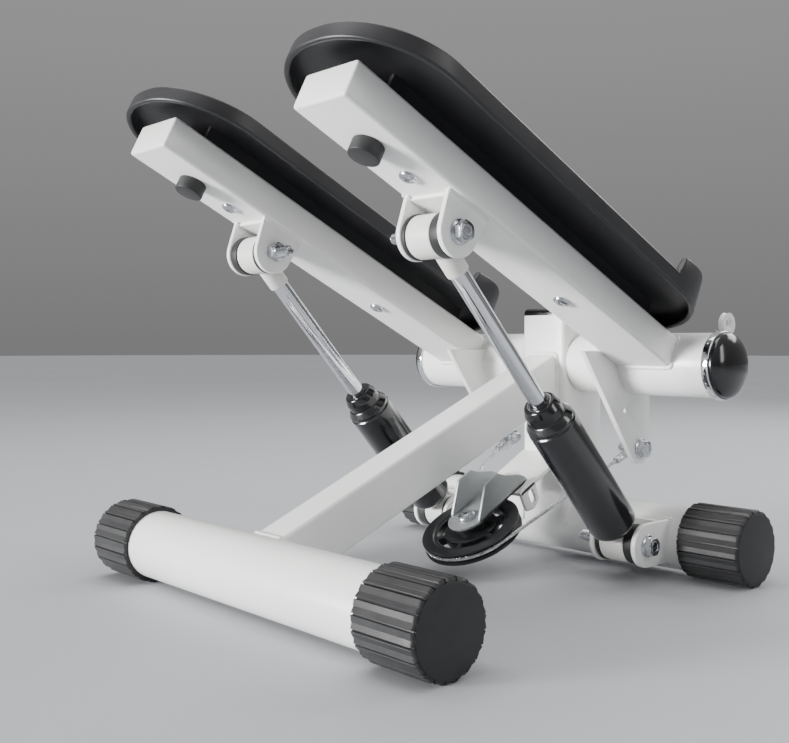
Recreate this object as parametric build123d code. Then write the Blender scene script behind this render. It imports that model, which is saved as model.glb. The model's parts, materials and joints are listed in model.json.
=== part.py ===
from build123d import *
import math
import os

# Mini stepper, millimetres. +Z is up, +Y is the way the user faces and +X is the user's right.
# The origin is on the floor under the middle of the stepper's bounding box.
# Both pedals stand level with each other, at the middle of their travel.

# Frame of round cross tubes, a post and a sloping beam
TUBE_R = 25.0
TUBE_WALL = 2.0
FOOT_R = 28.7
FOOT_LENGTH = 50.6
FOOT_END_WALL = 4.0
FOOT_HALF_SPAN = 182.5
RIB_COUNT = 20
RIB_GROOVE = 2.2
RIB_DEPTH = 1.5
FOOT_RIM_LENGTH = 2.0
FOOT_RIM_STEP = 1.3
TUBE_SPACING = 318.5
AXLE_Y = 161.8
AXLE_Z = 164.0
POST_WIDTH = 46.0
POST_DEPTH = 52.0
POST_TOP = 204.5
POST_WALL = 2.5
POST_CORNER = 4.0
PLUG_HEAD = 6.0
PLUG_SKIRT = 11.0
BEAM_WIDTH = 30.0
BEAM_HEIGHT = 37.0
BEAM_SLOPE = 22.8
BEAM_WALL = 2.0

# Swinging arms
SHAFT_R = 10.0
SHAFT_HALF = 140.0
RUNNING_GAP = 0.05
SIDE_GAP = 0.3
SLEEVE_START = 24.8
SLEEVE_END = 157.0
ARM_X = 101.0
ARM_WIDTH = 50.0
ARM_HEIGHT = 25.0
ARM_WALL = 2.0
ARM_LENGTH = 380.0
ARM_ANGLE = 26.2
END_PLATE = 3.0

# Fasteners
HEX_ACROSS = 13.0
NUT_THICKNESS = 6.5
FLANGE_R = 8.6
FLANGE_THICKNESS = 1.6
HEAD_HEIGHT = 5.0
PEDAL_SCREW_R = 2.5
PAN_HEAD_R = 7.5
PAN_HEAD = 4.0
SMALL_HEAD_R = 4.6
SMALL_HEAD = 3.0

# Hydraulic cylinders
CYLINDER_X = 99.5
PIVOT_R = 4.0
PIVOT_ALONG_ARM = 262.0
PIVOT_BELOW_ARM = 32.0
EYE_R = 14.5
EYE_BORE_R = 5.7
EYE_DROP = 1.3
EAR_R = 16.5
EAR_THICKNESS = 4.2
CLEVIS_HALF = 21.0
LOWER_PIVOT_REACH = 48.5
BARREL_R = 18.5
BARREL_START = 18.0
BARREL_END = 138.0
BARREL_WALL = 2.5
GLAND_START = 130.0
GLAND_END = 150.0
EYE_NECK_R = 8.0
PISTON_LOW = 58.0
PISTON_HEIGHT = 12.0
ROD_R = 6.5

# Pedals, in the arm's own frame
PEDAL_HALF_WIDTH = 66.0
PEDAL_HEEL = 399.0
PEDAL_TOE = 30.0
PEDAL_HEEL_RADIUS = 62.0
PEDAL_TOE_RADIUS = 60.0
PEDAL_SKIRT = 15.0
PEDAL_TOP = 27.0
PEDAL_WALL = 3.0
TOE_WALL_TOP = 44.0
TOE_WALL_REACH = 98.0
TOE_WALL_LEAN = 40.0
TOE_WALL = 5.0
SEAT_RIB_X = 17.0
SEAT_RIB = 4.0
SEAT_RIB_START = 58.0
SEAT_RIB_END = 350.0
BOSS_R = 9.0
SCREW_STATIONS = (300.0, 134.0)
BUMPER_STATION = 336.0
BUMPER_R = 10.5
BUMPER_HEIGHT = 10.0

# Cable and pulley
PULLEY_Y = AXLE_Y - 113.5
PULLEY_Z = 32.0
PULLEY_TILT = 27.5
PULLEY_R = 40.5
PULLEY_THICKNESS = 9.5
PULLEY_WEB = 3.6
PULLEY_RIM_R = 32.0
GROOVE_HALF = 2.1
WHEEL_SLOTS = 6
WHEEL_SLOT_R = 25.0
WHEEL_SLOT_SWEEP = 36.0
WHEEL_SLOT_WIDTH = 6.0
HUB_R = 12.0
HUB_TOP = 9.0
BUSH_R = 7.0
TONGUE_LOW = 9.8
TONGUE_TOP = 12.3
TONGUE_HALF = 16.0
TONGUE_END = 60.0
CHEEK_OUTLINE = ((-2.0, 13.5), (17.0, 34.5), (33.0, 34.2), (40.3, 27.6), (54.3, 19.6), (60.0, 14.0))
BASE_LOW = 6.5
BASE_HALF = 22.0
BASE_START = 42.5
BASE_END = 103.5
BASE_WALL = 3.0
CHEEK_WALL = 2.5
LUG_SLOT_Y = 54.0
LUG_SLOT_Z = -0.5
LUG_SLOT_LENGTH = 12.0
LUG_SLOT_WIDTH = 6.0
LUG_OUTLINE = ((57.0, 14.0), (61.0, 13.0), (62.5, 5.0), (60.0, -7.0), (52.0, -11.0), (42.5, -8.0))
SCREW_X = 8.0
SCREW_Y = 53.0
SCREW_R = 2.5
CABLE_R = 1.5
CABLE_TURN_R = 38.5
ANCHOR_REACH = 135.4
FERRULE_R = 3.0
FERRULE_START = 6.0
FERRULE_LENGTH = 16.0
LEVER_X = 71.0
LEVER_THICKNESS = 5.0
LEVER_END_R = 13.0

# Worked out from the values above
TUBE_Z = FOOT_R
FRONT_Y = AXLE_Y
REAR_Y = AXLE_Y - TUBE_SPACING
ARM_FRAME = Location((0, AXLE_Y, AXLE_Z), (-ARM_ANGLE, 0, 0))
PULLEY_FRAME = Location((0, PULLEY_Y, PULLEY_Z), (PULLEY_TILT, 0, 0))
LOWER_PIVOT = Vector(0, FRONT_Y - LOWER_PIVOT_REACH, TUBE_Z)
UPPER_PIVOT = (ARM_FRAME * Pos(0, -PIVOT_ALONG_ARM, -PIVOT_BELOW_ARM)).position
EYE_CENTRE = (ARM_FRAME * Pos(0, -PIVOT_ALONG_ARM, -PIVOT_BELOW_ARM - EYE_DROP)).position
CYLINDER_LENGTH = (EYE_CENTRE - LOWER_PIVOT).length
CYLINDER_LEAN = math.degrees(math.atan2(LOWER_PIVOT.Y - EYE_CENTRE.Y, EYE_CENTRE.Z - LOWER_PIVOT.Z))
CYLINDER_FRAME = Location((0, LOWER_PIVOT.Y, LOWER_PIVOT.Z), (CYLINDER_LEAN, 0, 0))
ANCHOR = (PULLEY_FRAME * Pos(0, ANCHOR_REACH, 0)).position
EAR_INNER = CYLINDER_X - CLEVIS_HALF
EAR_OUTER = CYLINDER_X + CLEVIS_HALF
EYE_START = CYLINDER_X - 13.5
EYE_STOP = CYLINDER_X + 8.5


def along_x(radius, start, stop, y=0.0, z=0.0):
    """Solid round bar along X."""
    return Pos((start + stop) / 2, y, z) * Rot(0, 90, 0) * Cylinder(radius, stop - start)


def ring_x(outer, inner, start, stop, y=0.0, z=0.0):
    """Tube or washer along X."""
    return along_x(outer, start, stop, y, z) - along_x(inner, start - 1, stop + 1, y, z)


def plate_x(outline, start, stop):
    """Flat plate across X, cut to an outline of (y, z) points."""
    face = Plane.YZ.offset(start) * make_face(Polyline(*outline, close=True))
    return extrude(face, stop - start, dir=(1, 0, 0))


def hex_x(across, start, stop, y=0.0, z=0.0):
    """Hexagon bar along X, for heads and nuts."""
    prism = extrude(RegularPolygon(across / math.sqrt(3), 6), (stop - start) / 2, both=True)
    return Pos((start + stop) / 2, y, z) * Rot(0, 90, 0) * prism


def spun_x(profile, start, direction=1):
    """Turned piece on the X axis, from (radius, distance along X) points."""
    face = make_face(Polyline(*[(start + direction * along, radius) for radius, along in profile], close=True))
    return revolve(face, Axis.X)


def flange_bolt_x(start, stop, y, z):
    """M8 flange bolt: its head is past stop, on the outer side, and its thread ends at start."""
    seat = stop + FLANGE_THICKNESS
    flange = along_x(FLANGE_R, stop, seat, y, z)
    head = chamfer(hex_x(HEX_ACROSS, seat, seat + HEAD_HEIGHT, y, z).edges().group_by(Axis.X)[-1], 0.8)
    return along_x(PIVOT_R, start, stop, y, z) + flange + head


def nut_x(start, y, z):
    stop = start + NUT_THICKNESS
    return hex_x(HEX_ACROSS, start, stop, y, z) - along_x(PIVOT_R, start - 1, stop + 1, y, z)


def other_side(part):
    return mirror(part, about=Plane.YZ)


# ---- frame ----

def cross_tube(y):
    half = FOOT_HALF_SPAN - FOOT_END_WALL
    return ring_x(TUBE_R, TUBE_R - TUBE_WALL, -half, half, y, TUBE_Z)


def foot_cap(y):
    """Ribbed rubber cup on the right end of a cross tube."""
    grooves = PolarLocations(FOOT_R, RIB_COUNT) * Rectangle(2 * RIB_DEPTH, RIB_GROOVE)
    ribbed = FOOT_LENGTH - FOOT_RIM_LENGTH
    depth = FOOT_LENGTH - FOOT_END_WALL
    body = extrude(Circle(FOOT_R) - grooves, ribbed)
    rim = Pos(0, 0, ribbed) * extrude(Circle(FOOT_R - FOOT_RIM_STEP), FOOT_RIM_LENGTH)
    hollow = Pos(0, 0, depth / 2) * Cylinder(TUBE_R, depth)
    return Pos(FOOT_HALF_SPAN - FOOT_LENGTH, y, TUBE_Z) * Rot(0, 90, 0) * (body + rim - hollow)


def rectangular_tube(width, height, length, wall, corner):
    """Hollow bar along +Y from the origin."""
    section = RectangleRounded(width, height, corner) - RectangleRounded(
        width - 2 * wall, height - 2 * wall, max(corner - wall, 0.4))
    return Rot(-90, 0, 0) * extrude(section, length)


def post_section(inset, corner):
    """Outline of the post, moved in by inset."""
    return RectangleRounded(POST_WIDTH - 2 * inset, POST_DEPTH - 2 * inset, corner)


def post():
    tube = extrude(post_section(0, POST_CORNER) - post_section(POST_WALL, 1.5), POST_TOP - TUBE_Z)
    placed = Pos(0, FRONT_Y, TUBE_Z) * tube
    placed -= along_x(TUBE_R, -60, 60, FRONT_Y, TUBE_Z)
    return placed - along_x(SHAFT_R, -60, 60, AXLE_Y, AXLE_Z)


def post_plug():
    skirt = post_section(POST_WALL, 1.5) - post_section(2 * POST_WALL, 1)
    head = extrude(post_section(0, POST_CORNER), PLUG_HEAD)
    head = fillet(head.faces().sort_by(Axis.Z)[-1].edges(), PLUG_HEAD / 2)
    return Pos(0, FRONT_Y, POST_TOP) * (head + Pos(0, 0, -PLUG_SKIRT) * extrude(skirt, PLUG_SKIRT))


def centre_beam():
    tube = rectangular_tube(BEAM_WIDTH, BEAM_HEIGHT, TUBE_SPACING * 1.2, BEAM_WALL, 3)
    placed = Location((0, REAR_Y, TUBE_Z), (BEAM_SLOPE, 0, 0)) * tube
    placed -= along_x(TUBE_R, -60, 60, REAR_Y, TUBE_Z)
    past_post = Box(100, 200, 400, align=(Align.CENTER, Align.MIN, Align.MIN))
    return placed - Pos(0, FRONT_Y - POST_DEPTH / 2, 0) * past_post


def pivot_shaft():
    """Cross shaft with a tapped hole in each end."""
    bar = along_x(SHAFT_R, -SHAFT_HALF, SHAFT_HALF, AXLE_Y, AXLE_Z)
    hole = along_x(PIVOT_R, SHAFT_HALF - 22, SHAFT_HALF + 1, AXLE_Y, AXLE_Z)
    return bar - hole - other_side(hole)


def shaft_end():
    """Washer and screw that keep the right sleeve on the shaft."""
    seat = SHAFT_HALF + 2.5
    washer = ring_x(16, PIVOT_R, SHAFT_HALF, seat, AXLE_Y, AXLE_Z)
    shank = along_x(PIVOT_R, SHAFT_HALF - 18, seat, AXLE_Y, AXLE_Z)
    screw = shank + hex_x(HEX_ACROSS, seat, seat + 5.5, AXLE_Y, AXLE_Z)
    return [washer, screw]


def lower_clevis():
    y, z = LOWER_PIVOT.Y, LOWER_PIVOT.Z
    bracket = Part()
    for start in (EAR_INNER, EAR_OUTER - EAR_THICKNESS):
        stop = start + EAR_THICKNESS
        ear = plate_x([(y, z - EAR_R), (FRONT_Y, z - EAR_R), (FRONT_Y, z + EAR_R), (y, z + EAR_R)], start, stop)
        bracket += ear + along_x(EAR_R, start, stop, y, z)
    web_y = FRONT_Y - TUBE_R - 1
    web = Pos(CYLINDER_X, web_y, z) * Box(2 * CLEVIS_HALF, 5, 2 * EAR_R)
    bracket += web
    bracket -= along_x(TUBE_R, 0, 180, FRONT_Y, TUBE_Z)
    return bracket - along_x(PIVOT_R, 0, 180, y, z)


def pivot_bolt(pivot):
    """Flange bolt and nut through both ears of a right clevis."""
    bolt = flange_bolt_x(EAR_INNER - 20, EAR_OUTER, pivot.Y, pivot.Z)
    return [bolt, nut_x(EAR_INNER - NUT_THICKNESS, pivot.Y, pivot.Z)]


# ---- arms ----

def sleeve():
    return ring_x(TUBE_R, TUBE_R - TUBE_WALL, SLEEVE_START, SLEEVE_END, AXLE_Y, AXLE_Z)


def sleeve_bushes():
    bore = SHAFT_R + RUNNING_GAP
    outer = TUBE_R - TUBE_WALL
    inner_bush = ring_x(outer, bore, SLEEVE_START, 46, AXLE_Y, AXLE_Z)
    flange = ring_x(TUBE_R - 0.6, bore, POST_WIDTH / 2 + SIDE_GAP, SLEEVE_START, AXLE_Y, AXLE_Z)
    outer_bush = ring_x(outer, bore, SHAFT_HALF - 22, SHAFT_HALF - SIDE_GAP, AXLE_Y, AXLE_Z)
    return [inner_bush + flange, outer_bush]


def arm_tube():
    tube = rectangular_tube(ARM_WIDTH, ARM_HEIGHT, ARM_LENGTH - END_PLATE, ARM_WALL, 3)
    placed = ARM_FRAME * Pos(ARM_X, 0, 0) * Rot(0, 0, 180) * tube
    placed -= along_x(TUBE_R, 0, 180, AXLE_Y, AXLE_Z)
    for station in SCREW_STATIONS:
        placed -= ARM_FRAME * Pos(ARM_X, -station, 0) * Cylinder(PEDAL_SCREW_R, ARM_HEIGHT + 2)
    return placed


def arm_end_plate():
    plate = extrude(RectangleRounded(ARM_WIDTH, ARM_HEIGHT, 3), END_PLATE)
    plate = fillet(plate.faces().sort_by(Axis.Z)[-1].edges(), 1.6)
    return ARM_FRAME * Pos(ARM_X, END_PLATE - ARM_LENGTH, 0) * Rot(90, 0, 0) * plate


def upper_clevis():
    """Folded bracket under the arm, drawn in the arm's frame."""
    y, z = -PIVOT_ALONG_ARM, -PIVOT_BELOW_ARM
    top = -ARM_HEIGHT / 2
    bracket = Pos(CYLINDER_X, y, top - 1.25) * Box(2 * CLEVIS_HALF, 2 * EAR_R, 2.5)
    for start in (EAR_INNER, EAR_OUTER - EAR_THICKNESS):
        stop = start + EAR_THICKNESS
        bracket += plate_x([(y - EAR_R, z), (y + EAR_R, z), (y + EAR_R, top), (y - EAR_R, top)], start, stop)
        bracket += along_x(EAR_R, start, stop, y, z)
    return ARM_FRAME * (bracket - along_x(PIVOT_R, 0, 180, y, z))


def lever_plate():
    """Steel gusset on the inner side of the arm: it carries the cable behind the shaft."""
    y, z = ANCHOR.Y, ANCHOR.Z
    near_top = (AXLE_Y - 67.3, AXLE_Z + 11.1)
    slope = math.atan2(near_top[1] - z, near_top[0] - y) - math.pi / 2
    near_low = (y + LEVER_END_R * math.cos(slope + math.pi), z + LEVER_END_R * math.sin(slope + math.pi))
    far_low = (y + LEVER_END_R, z)
    far_top = (y + LEVER_END_R, AXLE_Z - 14)
    outline = [near_top, near_low, (y, z), far_low, far_top, (AXLE_Y + 5, AXLE_Z + 11.1)]
    plate = plate_x(outline, LEVER_X, LEVER_X + LEVER_THICKNESS)
    plate += along_x(LEVER_END_R, LEVER_X, LEVER_X + LEVER_THICKNESS, y, z)
    plate -= along_x(TUBE_R, 0, 180, AXLE_Y, AXLE_Z)
    plate -= along_x(PIVOT_R, 0, 180, y, z)
    return plate - along_x(2.6, 0, 180, AXLE_Y - 13.5, AXLE_Z - 37.4)


def cable_run():
    """Ends of the right cable run in the pulley's frame: its anchor, and where it meets the pulley."""
    reach = Vector(LEVER_X - CABLE_R, ANCHOR_REACH, 0)
    turn = math.atan2(reach.Y, reach.X) - math.acos(CABLE_TURN_R / reach.length)
    touch = Vector(CABLE_TURN_R * math.cos(turn), CABLE_TURN_R * math.sin(turn), 0)
    return reach, touch


def cable_anchor():
    """Bolt, nut and crimped cable end on the right lever plate."""
    y, z = ANCHOR.Y, ANCHOR.Z
    bolt = flange_bolt_x(LEVER_X - 15, LEVER_X + LEVER_THICKNESS, y, z)
    reach, touch = cable_run()
    run = (touch - reach).normalized()
    start = reach + run * FERRULE_START
    barrel = Cylinder(FERRULE_R, FERRULE_LENGTH, align=(Align.CENTER, Align.CENTER, Align.MIN))
    barrel = Plane(origin=start, z_dir=run).location * barrel
    eyelet = ring_x(8, PIVOT_R, LEVER_X - 3, LEVER_X, y, z)
    ferrule = eyelet + (PULLEY_FRAME * barrel - along_x(8, LEVER_X - 12, LEVER_X + 9, y, z))
    return [bolt, nut_x(LEVER_X - 9.5, y, z), ferrule]


def pedal_outline(inset):
    """Pedal seen from above in the arm's frame: a long plate with round heel and toe corners."""
    half = PEDAL_HALF_WIDTH - inset
    heel_r, toe_r = PEDAL_HEEL_RADIUS - inset, PEDAL_TOE_RADIUS - inset
    heel, toe = -PEDAL_HEEL + inset, -PEDAL_TOE - inset
    edge = [
        Line((half, toe - toe_r), (half, heel + heel_r)),
        RadiusArc((half, heel + heel_r), (half - heel_r, heel), heel_r),
        Line((half - heel_r, heel), (heel_r - half, heel)),
        RadiusArc((heel_r - half, heel), (-half, heel + heel_r), heel_r),
        Line((-half, heel + heel_r), (-half, toe - toe_r)),
        RadiusArc((-half, toe - toe_r), (toe_r - half, toe), toe_r),
        Line((toe_r - half, toe), (half - toe_r, toe)),
        RadiusArc((half - toe_r, toe), (half, toe - toe_r), toe_r),
    ]
    return make_face(Curve() + edge)


def pedal():
    outer, inner = pedal_outline(0), pedal_outline(PEDAL_WALL)
    shell = Pos(0, 0, PEDAL_SKIRT) * extrude(outer, PEDAL_TOP - PEDAL_SKIRT)
    shell = fillet(shell.faces().sort_by(Axis.Z)[-1].edges(), 2)
    shell -= Pos(0, 0, PEDAL_SKIRT - 1) * extrude(inner, PEDAL_TOP - PEDAL_SKIRT - PEDAL_WALL + 1)
    stop = Pos(0, 0, PEDAL_TOP - 3) * extrude(outer - pedal_outline(TOE_WALL), TOE_WALL_TOP - PEDAL_TOP + 3)
    lean = (TOE_WALL_TOP - PEDAL_TOP) * math.tan(math.radians(TOE_WALL_LEAN))
    behind = plate_x([(-TOE_WALL_REACH, PEDAL_TOP), (lean - TOE_WALL_REACH, TOE_WALL_TOP + 1),
                      (-PEDAL_HEEL - 1, TOE_WALL_TOP + 1), (-PEDAL_HEEL - 1, PEDAL_TOP)],
                     -PEDAL_HALF_WIDTH - 1, PEDAL_HALF_WIDTH + 1)
    shell += stop - behind
    seat_height = PEDAL_TOP - PEDAL_WALL - ARM_HEIGHT / 2
    seat_middle = ARM_HEIGHT / 2 + seat_height / 2
    for x in (-SEAT_RIB_X, SEAT_RIB_X):
        rib = Box(SEAT_RIB, SEAT_RIB_END - SEAT_RIB_START, seat_height)
        shell += Pos(x, -(SEAT_RIB_START + SEAT_RIB_END) / 2, seat_middle) * rib
    for station in SCREW_STATIONS:
        shell += Pos(0, -station, seat_middle) * Cylinder(BOSS_R, seat_height)
        shell -= Pos(0, -station, ARM_HEIGHT / 2 + 4.5) * Cylinder(PEDAL_SCREW_R, 9)
    return ARM_FRAME * Pos(ARM_X, 0, 0) * shell


def pedal_screws():
    """Pan-head screws up through the arm into the pedal."""
    screws = []
    for station in SCREW_STATIONS:
        head = Pos(0, 0, -3.2) * Cylinder(6.2, 3.2, align=(Align.CENTER, Align.CENTER, Align.MIN))
        head = fillet(head.faces().sort_by(Axis.Z)[0].edges(), 2)
        slot = Pos(0, 0, -3.2) * (Box(6, 1.2, 2.4) + Box(1.2, 6, 2.4))
        shank = Cylinder(PEDAL_SCREW_R, ARM_HEIGHT + 8, align=(Align.CENTER, Align.CENTER, Align.MIN))
        screws.append(ARM_FRAME * Pos(ARM_X, -station, -ARM_HEIGHT / 2) * (head - slot + shank))
    return screws


def bumper():
    puck = Pos(0, 0, -BUMPER_HEIGHT / 2) * Cylinder(BUMPER_R, BUMPER_HEIGHT)
    puck = fillet(puck.faces().sort_by(Axis.Z)[0].edges(), 1)
    return ARM_FRAME * Pos(ARM_X, -BUMPER_STATION, -ARM_HEIGHT / 2) * puck


def sleeve_plug():
    rim = TUBE_R
    skirt = TUBE_R - TUBE_WALL
    dome = [(rim * math.cos(a), 1 + 10.5 * math.sin(a)) for a in (0, 0.25, 0.5, 0.75, 1.0, 1.25)]
    profile = [(0, -1), (skirt - 3, -1), (skirt - 3, -7), (skirt, -7), (skirt, 0), (rim, 0)] + dome + [(0, 11.5)]
    return Pos(0, AXLE_Y, AXLE_Z) * spun_x(profile, SLEEVE_END)


def band_ring():
    """Steel band round the sleeve with an eye for a resistance cord."""
    start, stop = SLEEVE_END - 5.5, SLEEVE_END
    band = ring_x(TUBE_R + 1.4, TUBE_R, start, stop)
    level, foot = TUBE_R + 7.6, TUBE_R - 2
    lug = along_x(7.4, start, start + 4, 0, level)
    lug += plate_x([(-7.4, level), (7.4, level), (9, foot), (-9, foot)], start, start + 4)
    lug -= along_x(TUBE_R, start - 1, stop + 1)
    eye = band + lug - along_x(3.5, start - 1, stop + 1, 0, TUBE_R + 8.6)
    return Location((0, AXLE_Y, AXLE_Z), (-14, 0, 0)) * eye


# ---- hydraulic cylinders, drawn upright from the lower pivot ----

def barrel():
    top, mouth, bore = BARREL_END - BARREL_START, BARREL_R - 6.5, BARREL_R - BARREL_WALL
    profile = [(0, 0), (BARREL_R - 5, 0), (BARREL_R, 5), (BARREL_R, top - 6), (BARREL_R - 3.5, top), (mouth, top),
               (mouth, top - 10), (bore, top - 12), (bore, 6), (0, 6)]
    face = make_face(Polyline(*profile, close=True))
    body = revolve(Plane.XZ * face, Axis.Z)
    return CYLINDER_FRAME * Pos(CYLINDER_X, 0, BARREL_START) * body


def gland():
    """Rod guide pressed into the top of the barrel."""
    bore = ROD_R + RUNNING_GAP
    outer = BARREL_R - 6.5
    guide = Cylinder(outer, BARREL_END - GLAND_START, align=(Align.CENTER, Align.CENTER, Align.MIN))
    nose = Cylinder(14, GLAND_END - BARREL_END, align=(Align.CENTER, Align.CENTER, Align.MIN))
    nose = fillet(nose.faces().sort_by(Axis.Z)[-1].edges(), 4)
    body = Pos(0, 0, GLAND_START) * guide + Pos(0, 0, BARREL_END) * nose
    body -= Pos(0, 0, BARREL_END) * Cylinder(bore, 60)
    return CYLINDER_FRAME * Pos(CYLINDER_X, 0, 0) * body


def eye(bore, stub_start, stub_stop, centre):
    """White barrel eye with a short neck to its rod or barrel."""
    body = along_x(EYE_R, EYE_START, EYE_STOP, 0, centre)
    neck = Pos(CYLINDER_X, 0, (stub_start + stub_stop) / 2) * Cylinder(EYE_NECK_R, stub_stop - stub_start)
    body += neck - along_x(EYE_R - 1, EYE_START, EYE_STOP, 0, centre)
    return body - along_x(bore, EYE_START - 1, EYE_STOP + 1, 0, centre)


def eye_washers(centre, bore):
    inner = ring_x(EYE_R + 0.6, bore, EAR_INNER + EAR_THICKNESS + SIDE_GAP, EYE_START, 0, centre)
    outer = ring_x(EYE_R + 0.6, bore, EYE_STOP, EAR_OUTER - EAR_THICKNESS - SIDE_GAP, 0, centre)
    return [CYLINDER_FRAME * inner, CYLINDER_FRAME * outer]


def lower_eye():
    return CYLINDER_FRAME * eye(PIVOT_R + RUNNING_GAP, EYE_R - 3, BARREL_START, 0)


def upper_eye():
    neck_start = CYLINDER_LENGTH - 30
    body = eye(EYE_BORE_R, neck_start, CYLINDER_LENGTH - EYE_R + 3, CYLINDER_LENGTH)
    return CYLINDER_FRAME * (body - Pos(CYLINDER_X, 0, neck_start) * Cylinder(ROD_R, 16))


def rod():
    start, stop = 70.0, CYLINDER_LENGTH - 22
    return CYLINDER_FRAME * Pos(CYLINDER_X, 0, (start + stop) / 2) * Cylinder(ROD_R, stop - start)


def piston():
    radius = BARREL_R - BARREL_WALL - RUNNING_GAP
    return CYLINDER_FRAME * Pos(CYLINDER_X, 0, PISTON_LOW + PISTON_HEIGHT / 2) * Cylinder(radius, PISTON_HEIGHT)


# ---- pulley and its bracket, drawn in the pulley's own frame ----

def pulley():
    """Spoked wheel with a rope groove and a hub that stands up to the tongue."""
    half, groove, web = PULLEY_THICKNESS / 2, GROOVE_HALF, PULLEY_WEB
    floor = CABLE_TURN_R - CABLE_R - SIDE_GAP
    rim, step = PULLEY_RIM_R, PULLEY_RIM_R - 1
    profile = [(BUSH_R, -half), (HUB_R, -half), (HUB_R, -web), (step, -web), (rim, -half), (PULLEY_R, -half),
               (PULLEY_R, -groove - 0.4), (floor, -groove), (floor, groove), (PULLEY_R, groove + 0.4),
               (PULLEY_R, half), (rim, half), (step, web), (HUB_R, web), (HUB_R, HUB_TOP), (BUSH_R, HUB_TOP)]
    wheel = revolve(Plane.XZ * make_face(Polyline(*profile, close=True)), Axis.Z)
    for place in range(WHEEL_SLOTS):
        middle = CenterArc((0, 0), WHEEL_SLOT_R, place * 360 / WHEEL_SLOTS, WHEEL_SLOT_SWEEP)
        wheel -= Pos(0, 0, -half) * extrude(SlotArc(middle, WHEEL_SLOT_WIDTH), PULLEY_THICKNESS)
    return PULLEY_FRAME * wheel


def pulley_bush():
    """Bronze bush that stands a little proud of the hub at both ends."""
    low, high = -PULLEY_THICKNESS / 2 - 0.5, HUB_TOP + 0.4
    tube = Circle(BUSH_R) - Circle(PIVOT_R + RUNNING_GAP)
    return PULLEY_FRAME * Pos(0, 0, low) * extrude(tube, high - low)


def pulley_bolt():
    """Pan-head bolt from above, with its nut under the pulley."""
    head = Pos(0, 0, TONGUE_TOP + PAN_HEAD / 2) * Cylinder(PAN_HEAD_R, PAN_HEAD)
    head = fillet(head.edges().sort_by(Axis.Z)[-1], 1.5)
    shank = Pos(0, 0, (TONGUE_TOP - 20) / 2) * Cylinder(PIVOT_R, TONGUE_TOP + 20)
    nut = extrude(RegularPolygon(HEX_ACROSS / math.sqrt(3), 6), 6) - Cylinder(PIVOT_R, 20)
    return [PULLEY_FRAME * (shank + head), PULLEY_FRAME * Pos(0, 0, -12) * nut]


def pulley_bracket():
    """Folded grey plate: a round tongue over the pulley and two cheeks, screwed to the white base."""
    half = TONGUE_HALF
    tongue = Circle(half) + Pos(0, TONGUE_END / 2) * Rectangle(2 * half, TONGUE_END)
    plate = Pos(0, 0, TONGUE_LOW) * extrude(tongue, TONGUE_TOP - TONGUE_LOW)
    cheek = [*CHEEK_OUTLINE, (TONGUE_END, TONGUE_LOW + 1), (CHEEK_OUTLINE[0][0], TONGUE_LOW + 1)]
    plate += plate_x(cheek, half - CHEEK_WALL, half) + plate_x(cheek, -half, CHEEK_WALL - half)
    plate -= Cylinder(PIVOT_R, 40)
    for x in (-SCREW_X, SCREW_X):
        plate -= Pos(x, SCREW_Y, TONGUE_LOW) * Cylinder(SCREW_R, 20)
    return PULLEY_FRAME * plate


def pulley_base():
    """White bracket welded to the post: a sloping plate with two slotted side lugs."""
    low, high, half = BASE_LOW, TONGUE_LOW, BASE_HALF
    length = BASE_END - BASE_START
    plate = Pos(0, BASE_START + length / 2, (low + high) / 2) * Box(2 * half, length, high - low)
    lug = [(BASE_START, high), *LUG_OUTLINE]
    for start in (-half, half - BASE_WALL):
        plate += plate_x(lug, start, start + BASE_WALL)
    slot = extrude(SlotOverall(LUG_SLOT_LENGTH, LUG_SLOT_WIDTH), 40, both=True)
    plate -= Pos(0, LUG_SLOT_Y, LUG_SLOT_Z) * Rot(0, 90, 0) * slot
    for x in (-SCREW_X, SCREW_X):
        plate -= Pos(x, SCREW_Y, low) * Cylinder(SCREW_R, 20)
    past_post = Box(100, 100, 400, align=(Align.CENTER, Align.MIN, Align.CENTER))
    return PULLEY_FRAME * plate - Pos(0, FRONT_Y - POST_DEPTH / 2, 0) * past_post


def bracket_screws():
    screws = []
    for x in (-SCREW_X, SCREW_X):
        shank = Pos(x, SCREW_Y, TONGUE_TOP - 5) * Cylinder(SCREW_R, 10)
        head = Pos(x, SCREW_Y, TONGUE_TOP + SMALL_HEAD / 2) * Cylinder(SMALL_HEAD_R, SMALL_HEAD)
        screws.append(PULLEY_FRAME * (shank + head))
    return screws


def steel_cable():
    """Cable from one lever plate round the near side of the pulley to the other, pulled tight."""
    reach, touch = cable_run()
    run = (touch - reach).normalized()
    start = reach + run * (FERRULE_START + FERRULE_LENGTH + SIDE_GAP)
    mirrored = Vector(-touch.X, touch.Y), Vector(-start.X, start.Y)
    path = Line(start, touch) + ThreePointArc(touch, (0, -CABLE_TURN_R), mirrored[0]) + Line(*mirrored)
    section = Plane(origin=start, z_dir=run) * Circle(CABLE_R)
    cable = sweep(section, path=path)
    length = 2 * (touch - start).length + CABLE_TURN_R * (math.pi + 2 * math.atan2(touch.Y, touch.X))
    print("cable volume", round(cable.volume), "section times length", round(length * math.pi * CABLE_R ** 2))
    return PULLEY_FRAME * cable


def write(name, *solids):
    """One node: a single solid, or like pieces kept together as separate solids."""
    shape = solids[0] if len(solids) == 1 else Compound(children=list(solids))
    export_step(shape, os.path.join("parts", name + ".step"))


def write_pair(name, made):
    """The piece on the right, and its mirror image on the left."""
    pieces = made if isinstance(made, list) else [made]
    write(name + "_right", *pieces)
    write(name + "_left", *[other_side(piece) for piece in pieces])


def write_both(name, made):
    """One node that holds the piece on each side."""
    pieces = made if isinstance(made, list) else [made]
    write(name, *pieces, *[other_side(piece) for piece in pieces])


os.makedirs("parts", exist_ok=True)

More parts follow.
